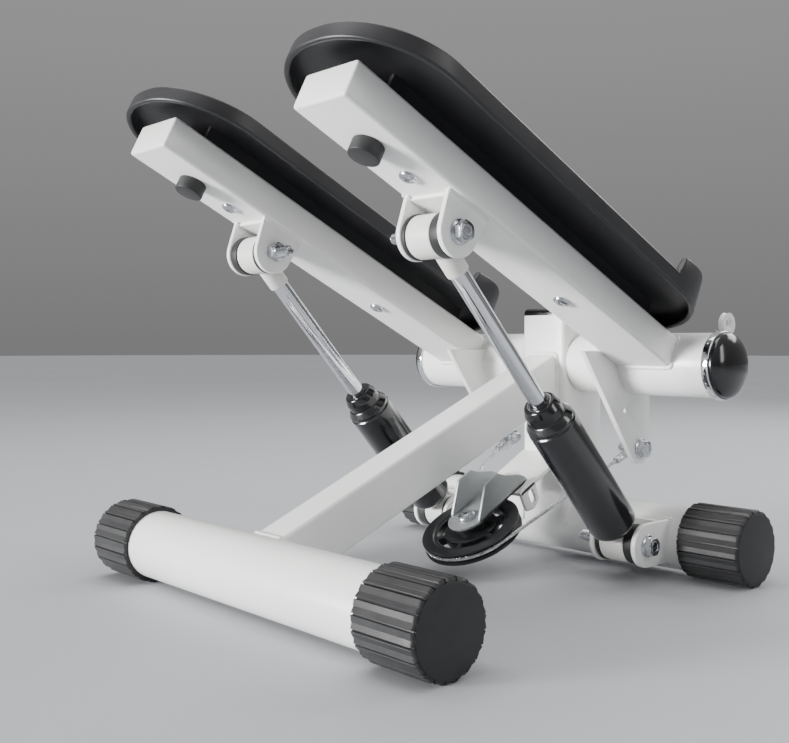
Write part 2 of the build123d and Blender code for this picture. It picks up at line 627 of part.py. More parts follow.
write("rear_cross_tube", cross_tube(REAR_Y))
write("front_cross_tube", cross_tube(FRONT_Y))
write_both("rear_foot_caps", foot_cap(REAR_Y))
write_both("front_foot_caps", foot_cap(FRONT_Y))
write("centre_beam", centre_beam())
write("post", post())
write("post_plug", post_plug())
write("pivot_shaft", pivot_shaft())
write_both("shaft_end_fasteners", shaft_end())
write_both("lower_clevises", lower_clevis())
write_both("lower_clevis_bolts", pivot_bolt(LOWER_PIVOT))
write("pulley_base", pulley_base())
write("pulley_bracket", pulley_bracket())
write("bracket_screws", *bracket_screws())
write("pulley_bolt", *pulley_bolt())
write("pulley", pulley())
write("pulley_bush", pulley_bush())
write("steel_cable", steel_cable())

write_pair("sleeve", sleeve())
write_pair("sleeve_bushes", sleeve_bushes())
write_pair("arm_tube", arm_tube())
write_pair("arm_end_plate", arm_end_plate())
write_pair("upper_clevis", upper_clevis())
write_pair("upper_clevis_bolt", pivot_bolt(UPPER_PIVOT))
write_pair("lever_plate", lever_plate())
write_pair("cable_anchor", cable_anchor())
write_pair("pedal", pedal())
write_pair("pedal_screws", pedal_screws())
write_pair("bumper", bumper())
write_pair("sleeve_plug", sleeve_plug())
write_pair("band_ring", band_ring())

write_pair("cylinder_barrel", barrel())
write_pair("cylinder_gland", gland())
write_pair("lower_eye", lower_eye())
write_pair("lower_eye_washers", eye_washers(0, PIVOT_R + RUNNING_GAP))
write_pair("piston_rod", rod())
write_pair("piston", piston())
write_pair("upper_eye", upper_eye())
write_pair("upper_eye_washers", eye_washers(CYLINDER_LENGTH, EYE_BORE_R))

print("upper pivot", UPPER_PIVOT, "lower pivot", LOWER_PIVOT, "lean", CYLINDER_LEAN, "length", CYLINDER_LENGTH)
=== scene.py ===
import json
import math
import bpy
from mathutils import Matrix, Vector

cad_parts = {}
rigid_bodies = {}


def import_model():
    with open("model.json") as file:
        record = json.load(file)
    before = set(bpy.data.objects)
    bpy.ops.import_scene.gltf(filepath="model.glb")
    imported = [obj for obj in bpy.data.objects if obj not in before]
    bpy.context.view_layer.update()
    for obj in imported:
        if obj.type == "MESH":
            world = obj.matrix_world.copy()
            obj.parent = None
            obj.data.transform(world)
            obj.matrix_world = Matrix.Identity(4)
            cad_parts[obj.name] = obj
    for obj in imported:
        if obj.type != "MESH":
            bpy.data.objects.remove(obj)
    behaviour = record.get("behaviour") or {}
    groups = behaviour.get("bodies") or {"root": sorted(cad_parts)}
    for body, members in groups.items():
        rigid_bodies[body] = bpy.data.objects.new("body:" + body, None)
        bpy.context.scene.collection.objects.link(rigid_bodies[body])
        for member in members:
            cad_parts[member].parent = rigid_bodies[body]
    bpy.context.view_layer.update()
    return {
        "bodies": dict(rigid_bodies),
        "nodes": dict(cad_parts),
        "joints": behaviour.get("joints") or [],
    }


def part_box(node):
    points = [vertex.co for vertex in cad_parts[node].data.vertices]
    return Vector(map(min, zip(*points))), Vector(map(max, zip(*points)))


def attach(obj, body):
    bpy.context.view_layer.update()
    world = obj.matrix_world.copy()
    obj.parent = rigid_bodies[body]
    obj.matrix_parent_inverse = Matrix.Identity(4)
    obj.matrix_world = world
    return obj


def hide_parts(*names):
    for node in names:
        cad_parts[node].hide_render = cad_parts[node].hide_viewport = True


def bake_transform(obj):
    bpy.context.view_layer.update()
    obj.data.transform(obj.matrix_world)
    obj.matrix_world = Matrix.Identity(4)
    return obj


bl_info = {
    "name": "Mini stepper",
    "version": (1, 0, 0),
    "blender": (4, 5, 0),
    "location": "View3D > Sidebar > Stepper",
    "description": "Builds the finished surfaces of a mini stepper round its CAD frame",
    "category": "Object",
}

import bmesh
import bpy
from mathutils import Matrix, Vector

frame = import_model()

# Lengths below are millimetres unless a name says metres: a place matrix turns them into metres.
MM = 0.001
MIRROR = Matrix.Diagonal((-1, 1, 1, 1))
FULL_TURN = 2 * math.pi


# ---- what the frame says ----

JOINTS = {joint["name"]: joint for joint in frame["joints"]}


def on_middle(joint):
    """Where a joint's axis crosses the stepper's middle plane, in metres."""
    return Vector((0, *JOINTS[joint]["pos_m"][1:]))


def lean_about_x(axis):
    """Angle about X that turns +Z onto an axis of the middle plane."""
    return math.atan2(-axis[1], axis[2])


def place(origin, lean=0.0):
    """Millimetre frame at a point of the middle plane, turned about X."""
    return Matrix.Translation(origin) @ Matrix.Rotation(lean, 4, "X") @ Matrix.Scale(MM, 4)


def low(node):
    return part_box(node)[0] / MM


def high(node):
    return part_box(node)[1] / MM


def middle(node):
    return (low(node) + high(node)) / 2


AXLE = on_middle("right_pedal_swing")
LOWER_PIVOT = on_middle("right_cylinder_tilt")
PULLEY_CENTRE = on_middle("pulley_spin")
END_PLATE = 3.0
ARM_END = middle("arm_end_plate_right") * MM - AXLE
ARM_SLOPE = math.atan2(ARM_END.z, -ARM_END.y)
ARM_LENGTH = math.hypot(ARM_END.y, ARM_END.z) / MM + END_PLATE / 2
ARM_X = middle("arm_tube_right").x
ARM_WIDTH = high("arm_tube_right").x - low("arm_tube_right").x
ARM_HEIGHT = 25.0

FLOOR_FRAME = place((0, 0, 0))
AXLE_FRAME = place(AXLE)
ARM_FRAME = place(AXLE, -ARM_SLOPE)
CYLINDER_FRAME = place(LOWER_PIVOT, lean_about_x(JOINTS["right_rod_slide"]["axis"]))
PULLEY_FRAME = place(PULLEY_CENTRE, lean_about_x(JOINTS["pulley_spin"]["axis"]))

TUBE_R = (high("rear_cross_tube").z - low("rear_cross_tube").z) / 2
TUBE_Z = middle("rear_cross_tube").z
REAR_Y = middle("rear_cross_tube").y
FRONT_Y = middle("front_cross_tube").y
SLEEVE_START, SLEEVE_END = low("sleeve_right").x, high("sleeve_right").x
POST_HALF_WIDTH = high("post").x
POST_HALF_DEPTH = (high("post").y - low("post").y) / 2
POST_TOP = high("post").z
BEAM_HALF_WIDTH = high("centre_beam").x
CYLINDER_X = middle("cylinder_barrel_right").x
EAR_INNER, EAR_OUTER = low("upper_clevis_right").x, high("upper_clevis_right").x
EYE_START, EYE_STOP = low("upper_eye_right").x, high("upper_eye_right").x
LEVER_X, LEVER_STOP = low("lever_plate_right").x, high("lever_plate_right").x
BOLT_R = 4.0
BOLT_FACE = 13.0
EAR_R = 16.5
EAR_THICKNESS = 4.2
EAR_BASE = 19.5
UPPER_PIVOT_ALONG, UPPER_PIVOT_BELOW = 262.0, 32.0
UPPER_EYE_DROP = 1.3
SCREW_STATIONS = (300.0, 134.0)
BUMPER_STATION = 336.0


def linear(code):
    """Linear colour from an sRGB hex value."""
    parts = [int(code[i:i + 2], 16) / 255 for i in (1, 3, 5)]
    return [part / 12.92 if part <= 0.04045 else ((part + 0.055) / 1.055) ** 2.4 for part in parts]


def length(name, description, metres):
    return bpy.props.FloatProperty(name=name, description=description, default=metres, min=0, unit="LENGTH")


def count(name, description, number):
    return bpy.props.IntProperty(name=name, description=description, default=number, min=1)


def colour(name, description, code):
    return bpy.props.FloatVectorProperty(
        name=name, description=description, default=linear(code), subtype="COLOR", min=0, max=1)


class StepperSizes(bpy.types.PropertyGroup):
    """Sizes of the details that a maker would change."""
    edge: length("Sheet edge", "Rounding of the cut edges of plates", 0.0006)
    tube_corner: length("Tube corner", "Corner radius of the rectangular tubes", 0.003)
    rib_height: length("Rib height", "How far the ribs stand out of a foot cap", 0.0019)
    rib_count: count("Ribs", "Ribs round each foot cap", 20)
    weld_radius: length("Weld radius", "Half the width of a weld bead", 0.0021)
    weld_ripple: length("Weld ripple", "Distance between two ripples of a weld", 0.0013)
    tread_pitch: length("Tread pitch", "Distance between two raised bars of the tread", 0.011)
    tread_height: length("Tread height", "How far the bars stand out of the tread", 0.0009)
    thread_pitch: length("Thread pitch", "Pitch of the M8 threads", 0.00125)
    strand_count: count("Strands", "Outer strands of the steel cable", 6)
    rope_lay: length("Rope lay", "Length in which a strand goes once round the cable", 0.013)


class StepperColours(bpy.types.PropertyGroup):
    """Colours of the finishes."""
    paint: colour("Paint", "White powder coat", "#F6F6F4")
    pedal: colour("Pedal", "Black pedal moulding", "#1E1E20")
    rubber: colour("Rubber", "Black foot caps, bumpers and washers", "#262627")
    plug: colour("Plug", "Glossy black plugs", "#101012")
    wheel: colour("Wheel", "Black nylon of the pulley", "#17181A")
    barrel: colour("Barrel", "Dark enamel of the cylinders", "#0E0F11")
    eye: colour("Eye", "White nylon of the cylinder eyes", "#E9E8E4")
    chrome: colour("Chrome", "Piston rods and bands", "#E2E4E8")
    zinc: colour("Zinc", "Bolts, nuts and screws", "#D3D6DB")
    sheet: colour("Sheet", "Grey plated bracket", "#B4B7B8")
    rope: colour("Rope", "Steel cable", "#ECEEF1")
    bronze: colour("Bronze", "Pulley bush", "#A98852")
    floor: colour("Floor", "Pale floor", "#BCBEC2")


class StepperStage(bpy.types.PropertyGroup):
    """Camera and light."""
    camera: bpy.props.FloatVectorProperty(
        name="Camera", description="Where the camera stands", default=(0.5710, -0.5446, 0.1835), subtype="XYZ",
        unit="LENGTH")
    azimuth: bpy.props.FloatProperty(
        name="Azimuth", description="Which way the camera looks", default=math.radians(48.013), subtype="ANGLE")
    pitch: bpy.props.FloatProperty(
        name="Pitch", description="How far the camera looks up", default=math.radians(0.359), subtype="ANGLE")
    lens: bpy.props.FloatProperty(
        name="Lens", description="Focal length on a 36 mm wide sensor, in millimetres", default=46.98)
    shift: bpy.props.FloatVectorProperty(
        name="Shift", description="Shift of the lens", default=(-0.0046, -0.0481), size=2)
    key: bpy.props.FloatProperty(
        name="Key light", description="Power of the main light", default=40.0, unit="POWER")
    sky: bpy.props.FloatProperty(
        name="Sky", description="Strength of the even light from all round", default=0.36)


def size(name):
    """A length of StepperSizes, in millimetres."""
    return getattr(bpy.context.scene.stepper_sizes, name) / MM


def tint(name, shade=1.0):
    """A colour of StepperColours, darker or lighter by a factor."""
    return [*[part * shade for part in getattr(bpy.context.scene.stepper_colours, name)], 1]


# ---- nodes ----

def add(tree, kind, inputs=None, **settings):
    """Adds a node. Settings are its own, and inputs gives each socket a value, a node or a node's output."""
    node = tree.nodes.new(kind)
    for name, value in settings.items():
        setattr(node, name, value)
    for socket, value in (inputs or {}).items():
        if isinstance(value, bpy.types.Node):
            value = value.outputs[0]
        if isinstance(value, bpy.types.NodeSocket):
            tree.links.new(value, node.inputs[socket])
        else:
            node.inputs[socket].default_value = value
    return node


# Each finish has its slot in the record and its material's name, the tint that it takes with the two shades
# that its patches drift between, the sockets that are even all over, its roughness range, and its reliefs as
# (patches, depth in millimetres, strength). Patches are (size in millimetres, detail, roughness of the noise).
# Polish has patches of its own where roughness doesn't follow the colour, and grain stretches a pattern.
FINISHES = {
    # white polyester powder coat on steel: a satin skin, orange peel about 1.6 mm across, and a grit of 0.4 mm
    # that is finer than it shows
    "paint": {"slot": "white_powder_coat", "material": "white_powder_coat", "shades": (1, 0.93),
              "patches": (70, 3), "polish": (9, 3), "rough": (0.30, 0.40),
              "even": {"Coat Weight": 0.25, "Coat Roughness": 0.18},
              "reliefs": [((1.6, 1), 0.02, 0.35), ((0.4, 1), 0.006, 0.3)]},
    # black polypropylene from a spark-eroded mould: a fine even grain, about 0.7 mm across and drawn slightly
    # coarse so that it shows, which catches soft highlights
    "pedal": {"slot": "black_plastic", "material": "black_pedal_moulding", "shades": (1, 1.5),
              "patches": (45, 5, 0.65), "rough": (0.36, 0.48), "even": {"Specular IOR Level": 0.5},
              "reliefs": [((0.7, 2, 0.6), 0.05, 0.45)]},
    # moulded black rubber: soft sheen, a dusty bloom and a fine pebble
    "rubber": {"slot": "black_rubber", "material": "black_rubber", "shades": (1, 1.6),
               "patches": (16, 4, 0.6), "rough": (0.46, 0.60),
               "even": {"Specular IOR Level": 0.35, "Sheen Weight": 0.03, "Sheen Roughness": 0.5},
               "reliefs": [((0.9, 2, 0.6), 0.04, 0.4)]},
    # polished black ABS of the plugs: nearly a mirror, with hairline swirls from handling
    "plug": {"slot": "black_plastic", "material": "glossy_black_plastic", "polish": (6, 6, 0.7),
             "rough": (0.10, 0.24), "even": {"Coat Weight": 0.4, "Coat Roughness": 0.06},
             "reliefs": [((12, 2), 0.02, 0.2)]},
    # black glass-filled nylon of the pulley: satin, with flow marks a few millimetres long
    "wheel": {"slot": "black_plastic", "material": "black_nylon", "shades": (1, 1.7),
              "patches": (7, 4, 0.6), "rough": (0.30, 0.42), "even": {"Specular IOR Level": 0.5},
              "reliefs": [((0.6, 2), 0.02, 0.35)]},
    # dark stoved enamel on the drawn cylinder: deep gloss with a slight ripple along the tube
    "barrel": {"slot": "dark_barrel_enamel", "material": "dark_barrel_enamel", "shades": (1, 1.8),
               "patches": (30, 3), "polish": (4, 5, 0.7), "rough": (0.16, 0.26),
               "even": {"Coat Weight": 0.8, "Coat Roughness": 0.05}, "reliefs": [((2.5, 1), 0.01, 0.2)]},
    # white nylon of the cylinder eyes: waxy and slightly translucent
    "eye": {"slot": "white_nylon", "material": "white_nylon", "shades": (1, 0.9), "patches": (12, 3),
            "rough": (0.34, 0.46), "even": {"Subsurface Weight": 0.15, "Subsurface Scale": 0.002},
            "reliefs": [((0.8, 1), 0.01, 0.3)]},
    # hard chrome on ground steel: bright, with the finest polishing haze
    "chrome": {"slot": "chrome", "material": "chrome", "polish": (3, 6, 0.7), "rough": (0.04, 0.12),
               "even": {"Metallic": 1.0}, "reliefs": [((0.5, 1), 0.002, 0.15)]},
    # bright zinc on the fasteners: silvery, with cloudy passivation patches
    "zinc": {"slot": "bright_zinc", "material": "bright_zinc", "shades": (1, 0.72), "patches": (3.5, 4, 0.6),
             "rough": (0.16, 0.32), "even": {"Metallic": 1.0}, "reliefs": [((0.5, 1), 0.004, 0.3)]},
    # grey passivated zinc on pressed sheet: dull metal with rolling marks along X
    "sheet": {"slot": "grey_steel_sheet", "material": "grey_plated_sheet", "shades": (1, 0.7),
              "patches": (0.8, 4, 0.6), "grain": (0.06, 1, 1), "rough": (0.34, 0.48),
              "even": {"Metallic": 0.6}, "reliefs": [((0.8, 4, 0.6), 0.01, 0.25)]},
    # galvanised wire of the cable: bright, with dull patches of grease about 5 mm across, and made of
    # single wires about 0.35 mm thick
    "rope": {"slot": "wire_rope", "material": "galvanised_wire", "shades": (1, 0.6), "patches": (5, 4, 0.6),
             "rough": (0.20, 0.36), "even": {"Metallic": 1.0}, "reliefs": [((0.35, 1), 0.02, 0.4)]},
    # ground bar steel of the shaft and the pistons: fine lines round the bar
    "steel": {"slot": "ground_steel", "material": "ground_steel", "tint": "zinc", "shades": (0.8, 0.6),
              "patches": (0.4, 3, 0.6), "grain": (1, 0.05, 0.05), "rough": (0.22, 0.34),
              "even": {"Metallic": 1.0}},
    # sintered bronze of the pulley bush: dull gold with open pores
    "bronze": {"slot": "bronze", "material": "sintered_bronze", "shades": (1, 0.5), "patches": (0.5, 3, 0.7),
               "rough": (0.35, 0.55), "even": {"Metallic": 1.0}},
    # smooth painted floor, with the faintest drift
    "floor": {"material": "pale_floor", "shades": (1, 0.97), "patches": (400, 3), "rough": (0.55, 0.65),
              "even": {"Specular IOR Level": 0.3}},
}
EVEN_NOISE = 0.5
made_finishes = {}


def finish(name):
    """The material of a finish, made when it is first used."""
    if name in made_finishes:
        return made_finishes[name]
    recipe = FINISHES[name]
    made = made_finishes[name] = bpy.data.materials.new(recipe["material"])
    made.use_nodes = True
    tree = made.node_tree
    tree.nodes.clear()
    hue = recipe.get("tint", name)
    shader = add(tree, "ShaderNodeBsdfPrincipled", {"Base Color": tint(hue), **recipe["even"]})
    add(tree, "ShaderNodeOutputMaterial", {"Surface": shader})
    spot = add(tree, "ShaderNodeTexCoord").outputs["Object"]
    if "grain" in recipe:
        spot = add(tree, "ShaderNodeMapping", {"Vector": spot, "Scale": recipe["grain"]})
    patches, reliefs = recipe.get("patches"), recipe.get("reliefs", [])
    polish = recipe.get("polish", patches)
    noises = {}
    for pattern in [patches, polish, *[grit for grit, _, _ in reliefs]]:
        if pattern and pattern not in noises:
            grain, detail, rough = (*pattern, EVEN_NOISE)[:3]
            noises[pattern] = add(tree, "ShaderNodeTexNoise", {
                "Vector": spot, "Scale": 1 / (grain * MM), "Detail": detail, "Roughness": rough})
    for pattern, start, stop in [(polish, *recipe["rough"])] + ([(patches, 0.0, 1.0)] if patches else []):
        spread = add(tree, "ShaderNodeMapRange", {
            "Value": noises[pattern], "From Min": 0.3, "From Max": 0.7, "To Min": start, "To Max": stop})
        if (start, stop) == recipe["rough"]:
            tree.links.new(spread.outputs[0], shader.inputs["Roughness"])
        else:
            light, dark = [tint(hue, shade) for shade in recipe["shades"]]
            drift = add(tree, "ShaderNodeMix", {0: spread, 6: light, 7: dark}, data_type="RGBA")
            tree.links.new(drift.outputs[2], shader.inputs["Base Color"])
    under = {}
    for grit, depth, strength in reliefs:
        skin = add(tree, "ShaderNodeBump", {
            "Height": noises[grit], "Distance": depth * MM, "Strength": strength, **under})
        tree.links.new(skin.outputs[0], shader.inputs["Normal"])
        under = {"Normal": skin}
    return made


# ---- mesh shapes ----

def loft(rings, loop=False):
    """Skin through rings of points. A ring of one point closes an end, and loop joins the last to the first."""
    part = bmesh.new()
    made = [[part.verts.new(point) for point in ring] for ring in rings]
    pairs = list(zip(made, made[1:])) + ([(made[-1], made[0])] if loop else [])
    for first, second in pairs:
        total = max(len(first), len(second))
        for i in range(total):
            j = (i + 1) % total
            corners = [first[i % len(first)], first[j % len(first)],
                       second[j % len(second)], second[i % len(second)]]
            part.faces.new(list(dict.fromkeys(corners)))
    if not loop:
        for ring in (made[0], made[-1]):
            if len(ring) > 2:
                part.faces.new(ring)
    bmesh.ops.recalc_face_normals(part, faces=part.faces)
    return part


def rounded(points, radius, steps=4, closed=True):
    """Outline whose corners are arcs. Radius is one number, or one for each corner."""
    made = []
    for i, point in enumerate(points):
        here = Vector(point)
        wanted = radius[i] if isinstance(radius, (list, tuple)) else radius
        if wanted <= 0 or (not closed and i in (0, len(points) - 1)):
            made.append(here)
            continue
        back, ahead = Vector(points[i - 1]) - here, Vector(points[(i + 1) % len(points)]) - here
        half_turn = (math.pi - back.angle(ahead)) / 2
        if half_turn < 0.01:
            made.append(here)
            continue
        reach = min(wanted * math.tan(half_turn), 0.49 * back.length, 0.49 * ahead.length)
        radius_here = reach / math.tan(half_turn)
        centre = here + (back.normalized() + ahead.normalized()).normalized() * radius_here / math.cos(half_turn)
        spoke = here + back.normalized() * reach - centre
        side = 1 if back.x * ahead.y - back.y * ahead.x < 0 else -1
        for k in range(steps + 1):
            made.append(centre + Matrix.Rotation(side * 2 * half_turn * k / steps, 2) @ spoke)
    return made


def arc(radius, start, stop, steps, centre=(0, 0)):
    """Points along an arc about a centre, from one angle to another."""
    turns = [start + (stop - start) * k / steps for k in range(steps + 1)]
    return [Vector((centre[0] + radius * math.cos(turn), centre[1] + radius * math.sin(turn))) for turn in turns]


def circle(radius, centre=(0, 0), steps=48):
    return arc(radius, 0, FULL_TURN, steps, centre)[:-1]


def lifted(outline, height):
    """A flat outline at a height."""
    return [spot.to_3d() + Vector((0, 0, height)) for spot in outline]


def turned(profile, steps=72, loop=False):
    """Turned piece about Z, from (radius, height) points."""
    rings = []
    for radius, height in profile:
        spots = circle(radius, steps=steps) if radius > 1e-6 else [Vector((0, 0))]
        rings.append(lifted(spots, height))
    return loft(rings, loop)


def collar(inner, outer, start, stop, edge=0.4, steps=72):
    """Ring or washer about Z with rounded edges."""
    return turned(rounded([(inner, start), (outer, start), (outer, stop), (inner, stop)], edge, 3), steps, True)


def puck(radius, start, stop, edge=0.4, steps=48):
    """Solid disc or bar about Z with rounded edges."""
    outline = rounded([(0, start), (radius, start), (radius, stop), (0, stop)], [0, edge, edge, 0], 3, False)
    return turned(outline, steps)


def sheet(outlines, thickness, edge=None):
    """Plate in the XY plane with rounded edges: the first outline is its rim and the others are its holes."""
    edge = size("edge") if edge is None else edge
    data = bpy.data.curves.new("outline", "CURVE")
    data.dimensions = "2D"
    data.fill_mode = "BOTH"
    for outline in outlines:
        spline = data.splines.new("POLY")
        spline.points.add(len(outline) - 1)
        for point, spot in zip(spline.points, outline):
            point.co = (spot[0], spot[1], 0, 1)
        spline.use_cyclic_u = True
    data.extrude = thickness / 2 - edge
    data.bevel_depth = edge
    data.bevel_resolution = 1
    data.offset = -edge
    holder = bpy.data.objects.new("outline", data)
    bpy.context.collection.objects.link(holder)
    flat = bpy.data.meshes.new_from_object(holder)
    part = bmesh.new()
    part.from_mesh(flat)
    bmesh.ops.remove_doubles(part, verts=part.verts, dist=0.002)
    bmesh.ops.recalc_face_normals(part, faces=part.faces)
    bpy.data.objects.remove(holder)
    bpy.data.curves.remove(data)
    bpy.data.meshes.remove(flat)
    return part


def rounded_box(width, depth, radius, steps=5):
    return rounded([(-width / 2, -depth / 2), (width / 2, -depth / 2), (width / 2, depth / 2),
                    (-width / 2, depth / 2)], radius, steps)


def bar(width, depth, start, stop, corner, end_edge=0.0):
    """Rectangular bar along Z with round corners, and rounded edges at its far end."""
    rings = [lifted(rounded_box(width, depth, corner), start)]
    steps = 4 if end_edge else 0
    for k in range(steps + 1):
        turn = math.pi / 2 * k / max(steps, 1)
        inset = end_edge * (1 - math.cos(turn))
        rise = stop - end_edge * (1 - math.sin(turn))
        outline = rounded_box(width - 2 * inset, depth - 2 * inset, max(corner - inset, 0.6))
        rings.append(lifted(outline, rise))
    return loft(rings)


def hex_head(start, stop, across=BOLT_FACE, both_ends=False):
    """Hexagon about Z whose far corners are turned off at 30 degrees, as on a real bolt head."""
    crown = across / 2 * 0.97

    def ring(height, below_top):
        spots = []
        for i in range(72):
            turn = FULL_TURN * i / 72
            flat = across / 2 / math.cos((turn + math.pi / 6) % (math.pi / 3) - math.pi / 6)
            reach = min(flat, crown + below_top * math.sqrt(3))
            spots.append(Vector((reach * math.cos(turn), reach * math.sin(turn), height)))
        return spots

    depths = (0, 0.15, 0.3, 0.5, 0.7)
    top = [ring(stop - depth, depth) for depth in reversed(depths)]
    bottom = [ring(start + depth, depth) for depth in depths] if both_ends else [ring(start, 2)]
    return loft(bottom + top)


def thread(start, stop, radius=BOLT_R):
    """Threaded rod about Z with a chamfered end."""
    pitch, around, along = size("thread_pitch"), 24, 6
    depth = 0.55 * pitch
    rings = []
    total = int((stop - start) / pitch * along)
    for k in range(total + 1):
        height = start + (stop - start) * k / total
        taper = max(0.0, height - stop + 1.2)
        ring = []
        for i in range(around):
            phase = (height / pitch - i / around) % 1
            reach = radius - depth * abs(2 * phase - 1) - taper * 0.6
            turn = FULL_TURN * i / around
            ring.append(Vector((reach * math.cos(turn), reach * math.sin(turn), height)))
        rings.append(ring)
    return loft(rings)


def join(*parts):
    """One mesh out of several."""
    whole = parts[0]
    for part in parts[1:]:
        spare = bpy.data.meshes.new("spare")
        part.to_mesh(spare)
        part.free()
        whole.from_mesh(spare)
        bpy.data.meshes.remove(spare)
    return whole


def moved(part, matrix):
    """The same mesh somewhere else; a mirror turns its faces round again."""
    part.transform(matrix)
    if matrix.determinant() < 0:
        bmesh.ops.reverse_faces(part, faces=part.faces)
    return part


def shift(x=0.0, y=0.0, z=0.0):
    return Matrix.Translation((x, y, z))


def along_x(x=0.0, y=0.0, z=0.0):
    """Lays a piece that was made about Z along +X, from a point."""
    return shift(x, y, z) @ Matrix.Rotation(math.pi / 2, 4, "Y")


def across_x(x=0.0, y=0.0, z=0.0):
    """Stands a flat outline of (y, z) points up across X: its thickness is then along X."""
    return shift(x, y, z) @ Matrix(((0, 0, 1, 0), (1, 0, 0, 0), (0, 1, 0, 0), (0, 0, 0, 1)))


def settle(part, name, body, look, *nodes, sharp=32):
    """Turns a mesh that is in place into a piece with its finish and its body, and hides the CAD nodes it stands
    for.
    """
    for face in part.faces:
        face.material_index = 0
    mesh = bpy.data.meshes.new(name)
    part.to_mesh(mesh)
    part.free()
    mesh.shade_smooth()
    mesh.set_sharp_from_angle(angle=math.radians(sharp))
    mesh.materials.clear()
    mesh.materials.append(finish(look))
    piece = bpy.data.objects.new(name, mesh)
    bpy.context.collection.objects.link(piece)
    if nodes:
        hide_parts(*nodes)
    if body:
        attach(piece, body)
    return piece


def both_sides(part, name, body, look, *nodes, sharp=32):
    """The piece on the right, and its mirror image on the left. Bodies and nodes get their side's name."""
    for side, turn in (("left", MIRROR), ("right", Matrix.Identity(4))):
        rides = body if body in frame["bodies"] else f"{side}_{body}"
        stands_for = [node if node in frame["nodes"] else f"{node}_{side}" for node in nodes]
        settle(moved(part.copy(), turn), f"{name}_{side}", rides, look, *stands_for, sharp=sharp)
    part.free()


# ---- geometry node trees ----

def new_tree(name, *sockets):
    """Geometry Nodes tree with a geometry in and out, and named inputs."""
    tree = bpy.data.node_groups.new(name, "GeometryNodeTree")
    tree.interface.new_socket("Geometry", in_out="INPUT", socket_type="NodeSocketGeometry")
    for label, kind in sockets:
        tree.interface.new_socket(label, in_out="INPUT", socket_type=kind)
    tree.interface.new_socket("Geometry", in_out="OUTPUT", socket_type="NodeSocketGeometry")
    return tree, add(tree, "NodeGroupInput").outputs


def close_tree(tree, given, geometry):
    """Ends a tree: instances made real, and the material set."""
    real = add(tree, "GeometryNodeRealizeInstances", {"Geometry": geometry})
    dressed = add(tree, "GeometryNodeSetMaterial", {"Geometry": real, "Material": given["Material"]})
    add(tree, "NodeGroupOutput", {"Geometry": dressed})
    return tree


def ring_of_ribs():
    """Copies the rib that it is given round the X axis."""
    tree, given = new_tree("ring_of_ribs", ("Count", "NodeSocketInt"), ("Material", "NodeSocketMaterial"))
    spots = add(tree, "GeometryNodeMeshLine", {"Count": given["Count"], "Offset": (0, 0, 0)})
    share = add(tree, "ShaderNodeMath", {0: add(tree, "GeometryNodeInputIndex"), 1: given["Count"]},
                operation="DIVIDE")
    turn = add(tree, "ShaderNodeMath", {0: share, 1: FULL_TURN}, operation="MULTIPLY")
    spin = add(tree, "ShaderNodeCombineXYZ", {"X": turn})
    copies = add(tree, "GeometryNodeInstanceOnPoints", {
        "Points": spots, "Instance": given["Geometry"], "Rotation": spin})
    return close_tree(tree, given, copies)


def tread_bars():
    """Puts a raised bar on each point, turned by turns one way and the other."""
    tree, given = new_tree("tread_bars", ("Length", "NodeSocketFloat"), ("Width", "NodeSocketFloat"),
                           ("Height", "NodeSocketFloat"), ("Turn", "NodeSocketFloat"),
                           ("Material", "NodeSocketMaterial"))
    box = add(tree, "ShaderNodeCombineXYZ", {"X": given["Length"], "Y": given["Width"], "Z": given["Height"]})
    body = add(tree, "GeometryNodeMeshCube", {"Size": box, "Vertices X": 4, "Vertices Y": 3, "Vertices Z": 2})
    soft = add(tree, "GeometryNodeSubdivisionSurface", {"Mesh": body, "Level": 1})
    smooth = add(tree, "GeometryNodeSetShadeSmooth", {"Geometry": soft})
    odd = add(tree, "ShaderNodeMath", {0: add(tree, "GeometryNodeInputIndex"), 1: 2.0}, operation="MODULO")
    way = add(tree, "ShaderNodeMath", {0: odd, 1: 2.0, 2: -1.0}, operation="MULTIPLY_ADD")
    turn = add(tree, "ShaderNodeMath", {0: way, 1: given["Turn"]}, operation="MULTIPLY")
    spin = add(tree, "ShaderNodeCombineXYZ", {"Z": turn})
    copies = add(tree, "GeometryNodeInstanceOnPoints", {
        "Points": given["Geometry"], "Instance": smooth, "Rotation": spin})
    return close_tree(tree, given, copies)


def weld_bead():
    """Lays overlapping drops of weld along an edge, each a little different."""
    tree, given = new_tree("weld_bead", ("Radius", "NodeSocketFloat"), ("Ripple", "NodeSocketFloat"),
                           ("Seed", "NodeSocketInt"), ("Material", "NodeSocketMaterial"))
    path = add(tree, "GeometryNodeMeshToCurve", {"Mesh": given["Geometry"]})
    even = add(tree, "GeometryNodeResampleCurve", {"Curve": path, "Length": given["Ripple"]}, mode="LENGTH")
    drop = add(tree, "GeometryNodeMeshIcoSphere", {"Radius": given["Radius"], "Subdivisions": 2})
    smooth = add(tree, "GeometryNodeSetShadeSmooth", {"Geometry": drop})
    tangent = add(tree, "GeometryNodeInputTangent")
    aim = add(tree, "FunctionNodeAlignRotationToVector", {"Vector": tangent}, axis="Z")
    vary = add(tree, "FunctionNodeRandomValue", {"Min": 0.9, "Max": 1.05, "Seed": given["Seed"]},
               data_type="FLOAT")
    amount = next(output for output in vary.outputs if output.enabled and output.type == "VALUE")
    copies = add(tree, "GeometryNodeInstanceOnPoints", {
        "Points": even, "Instance": smooth, "Rotation": aim, "Scale": amount})
    return close_tree(tree, given, copies)


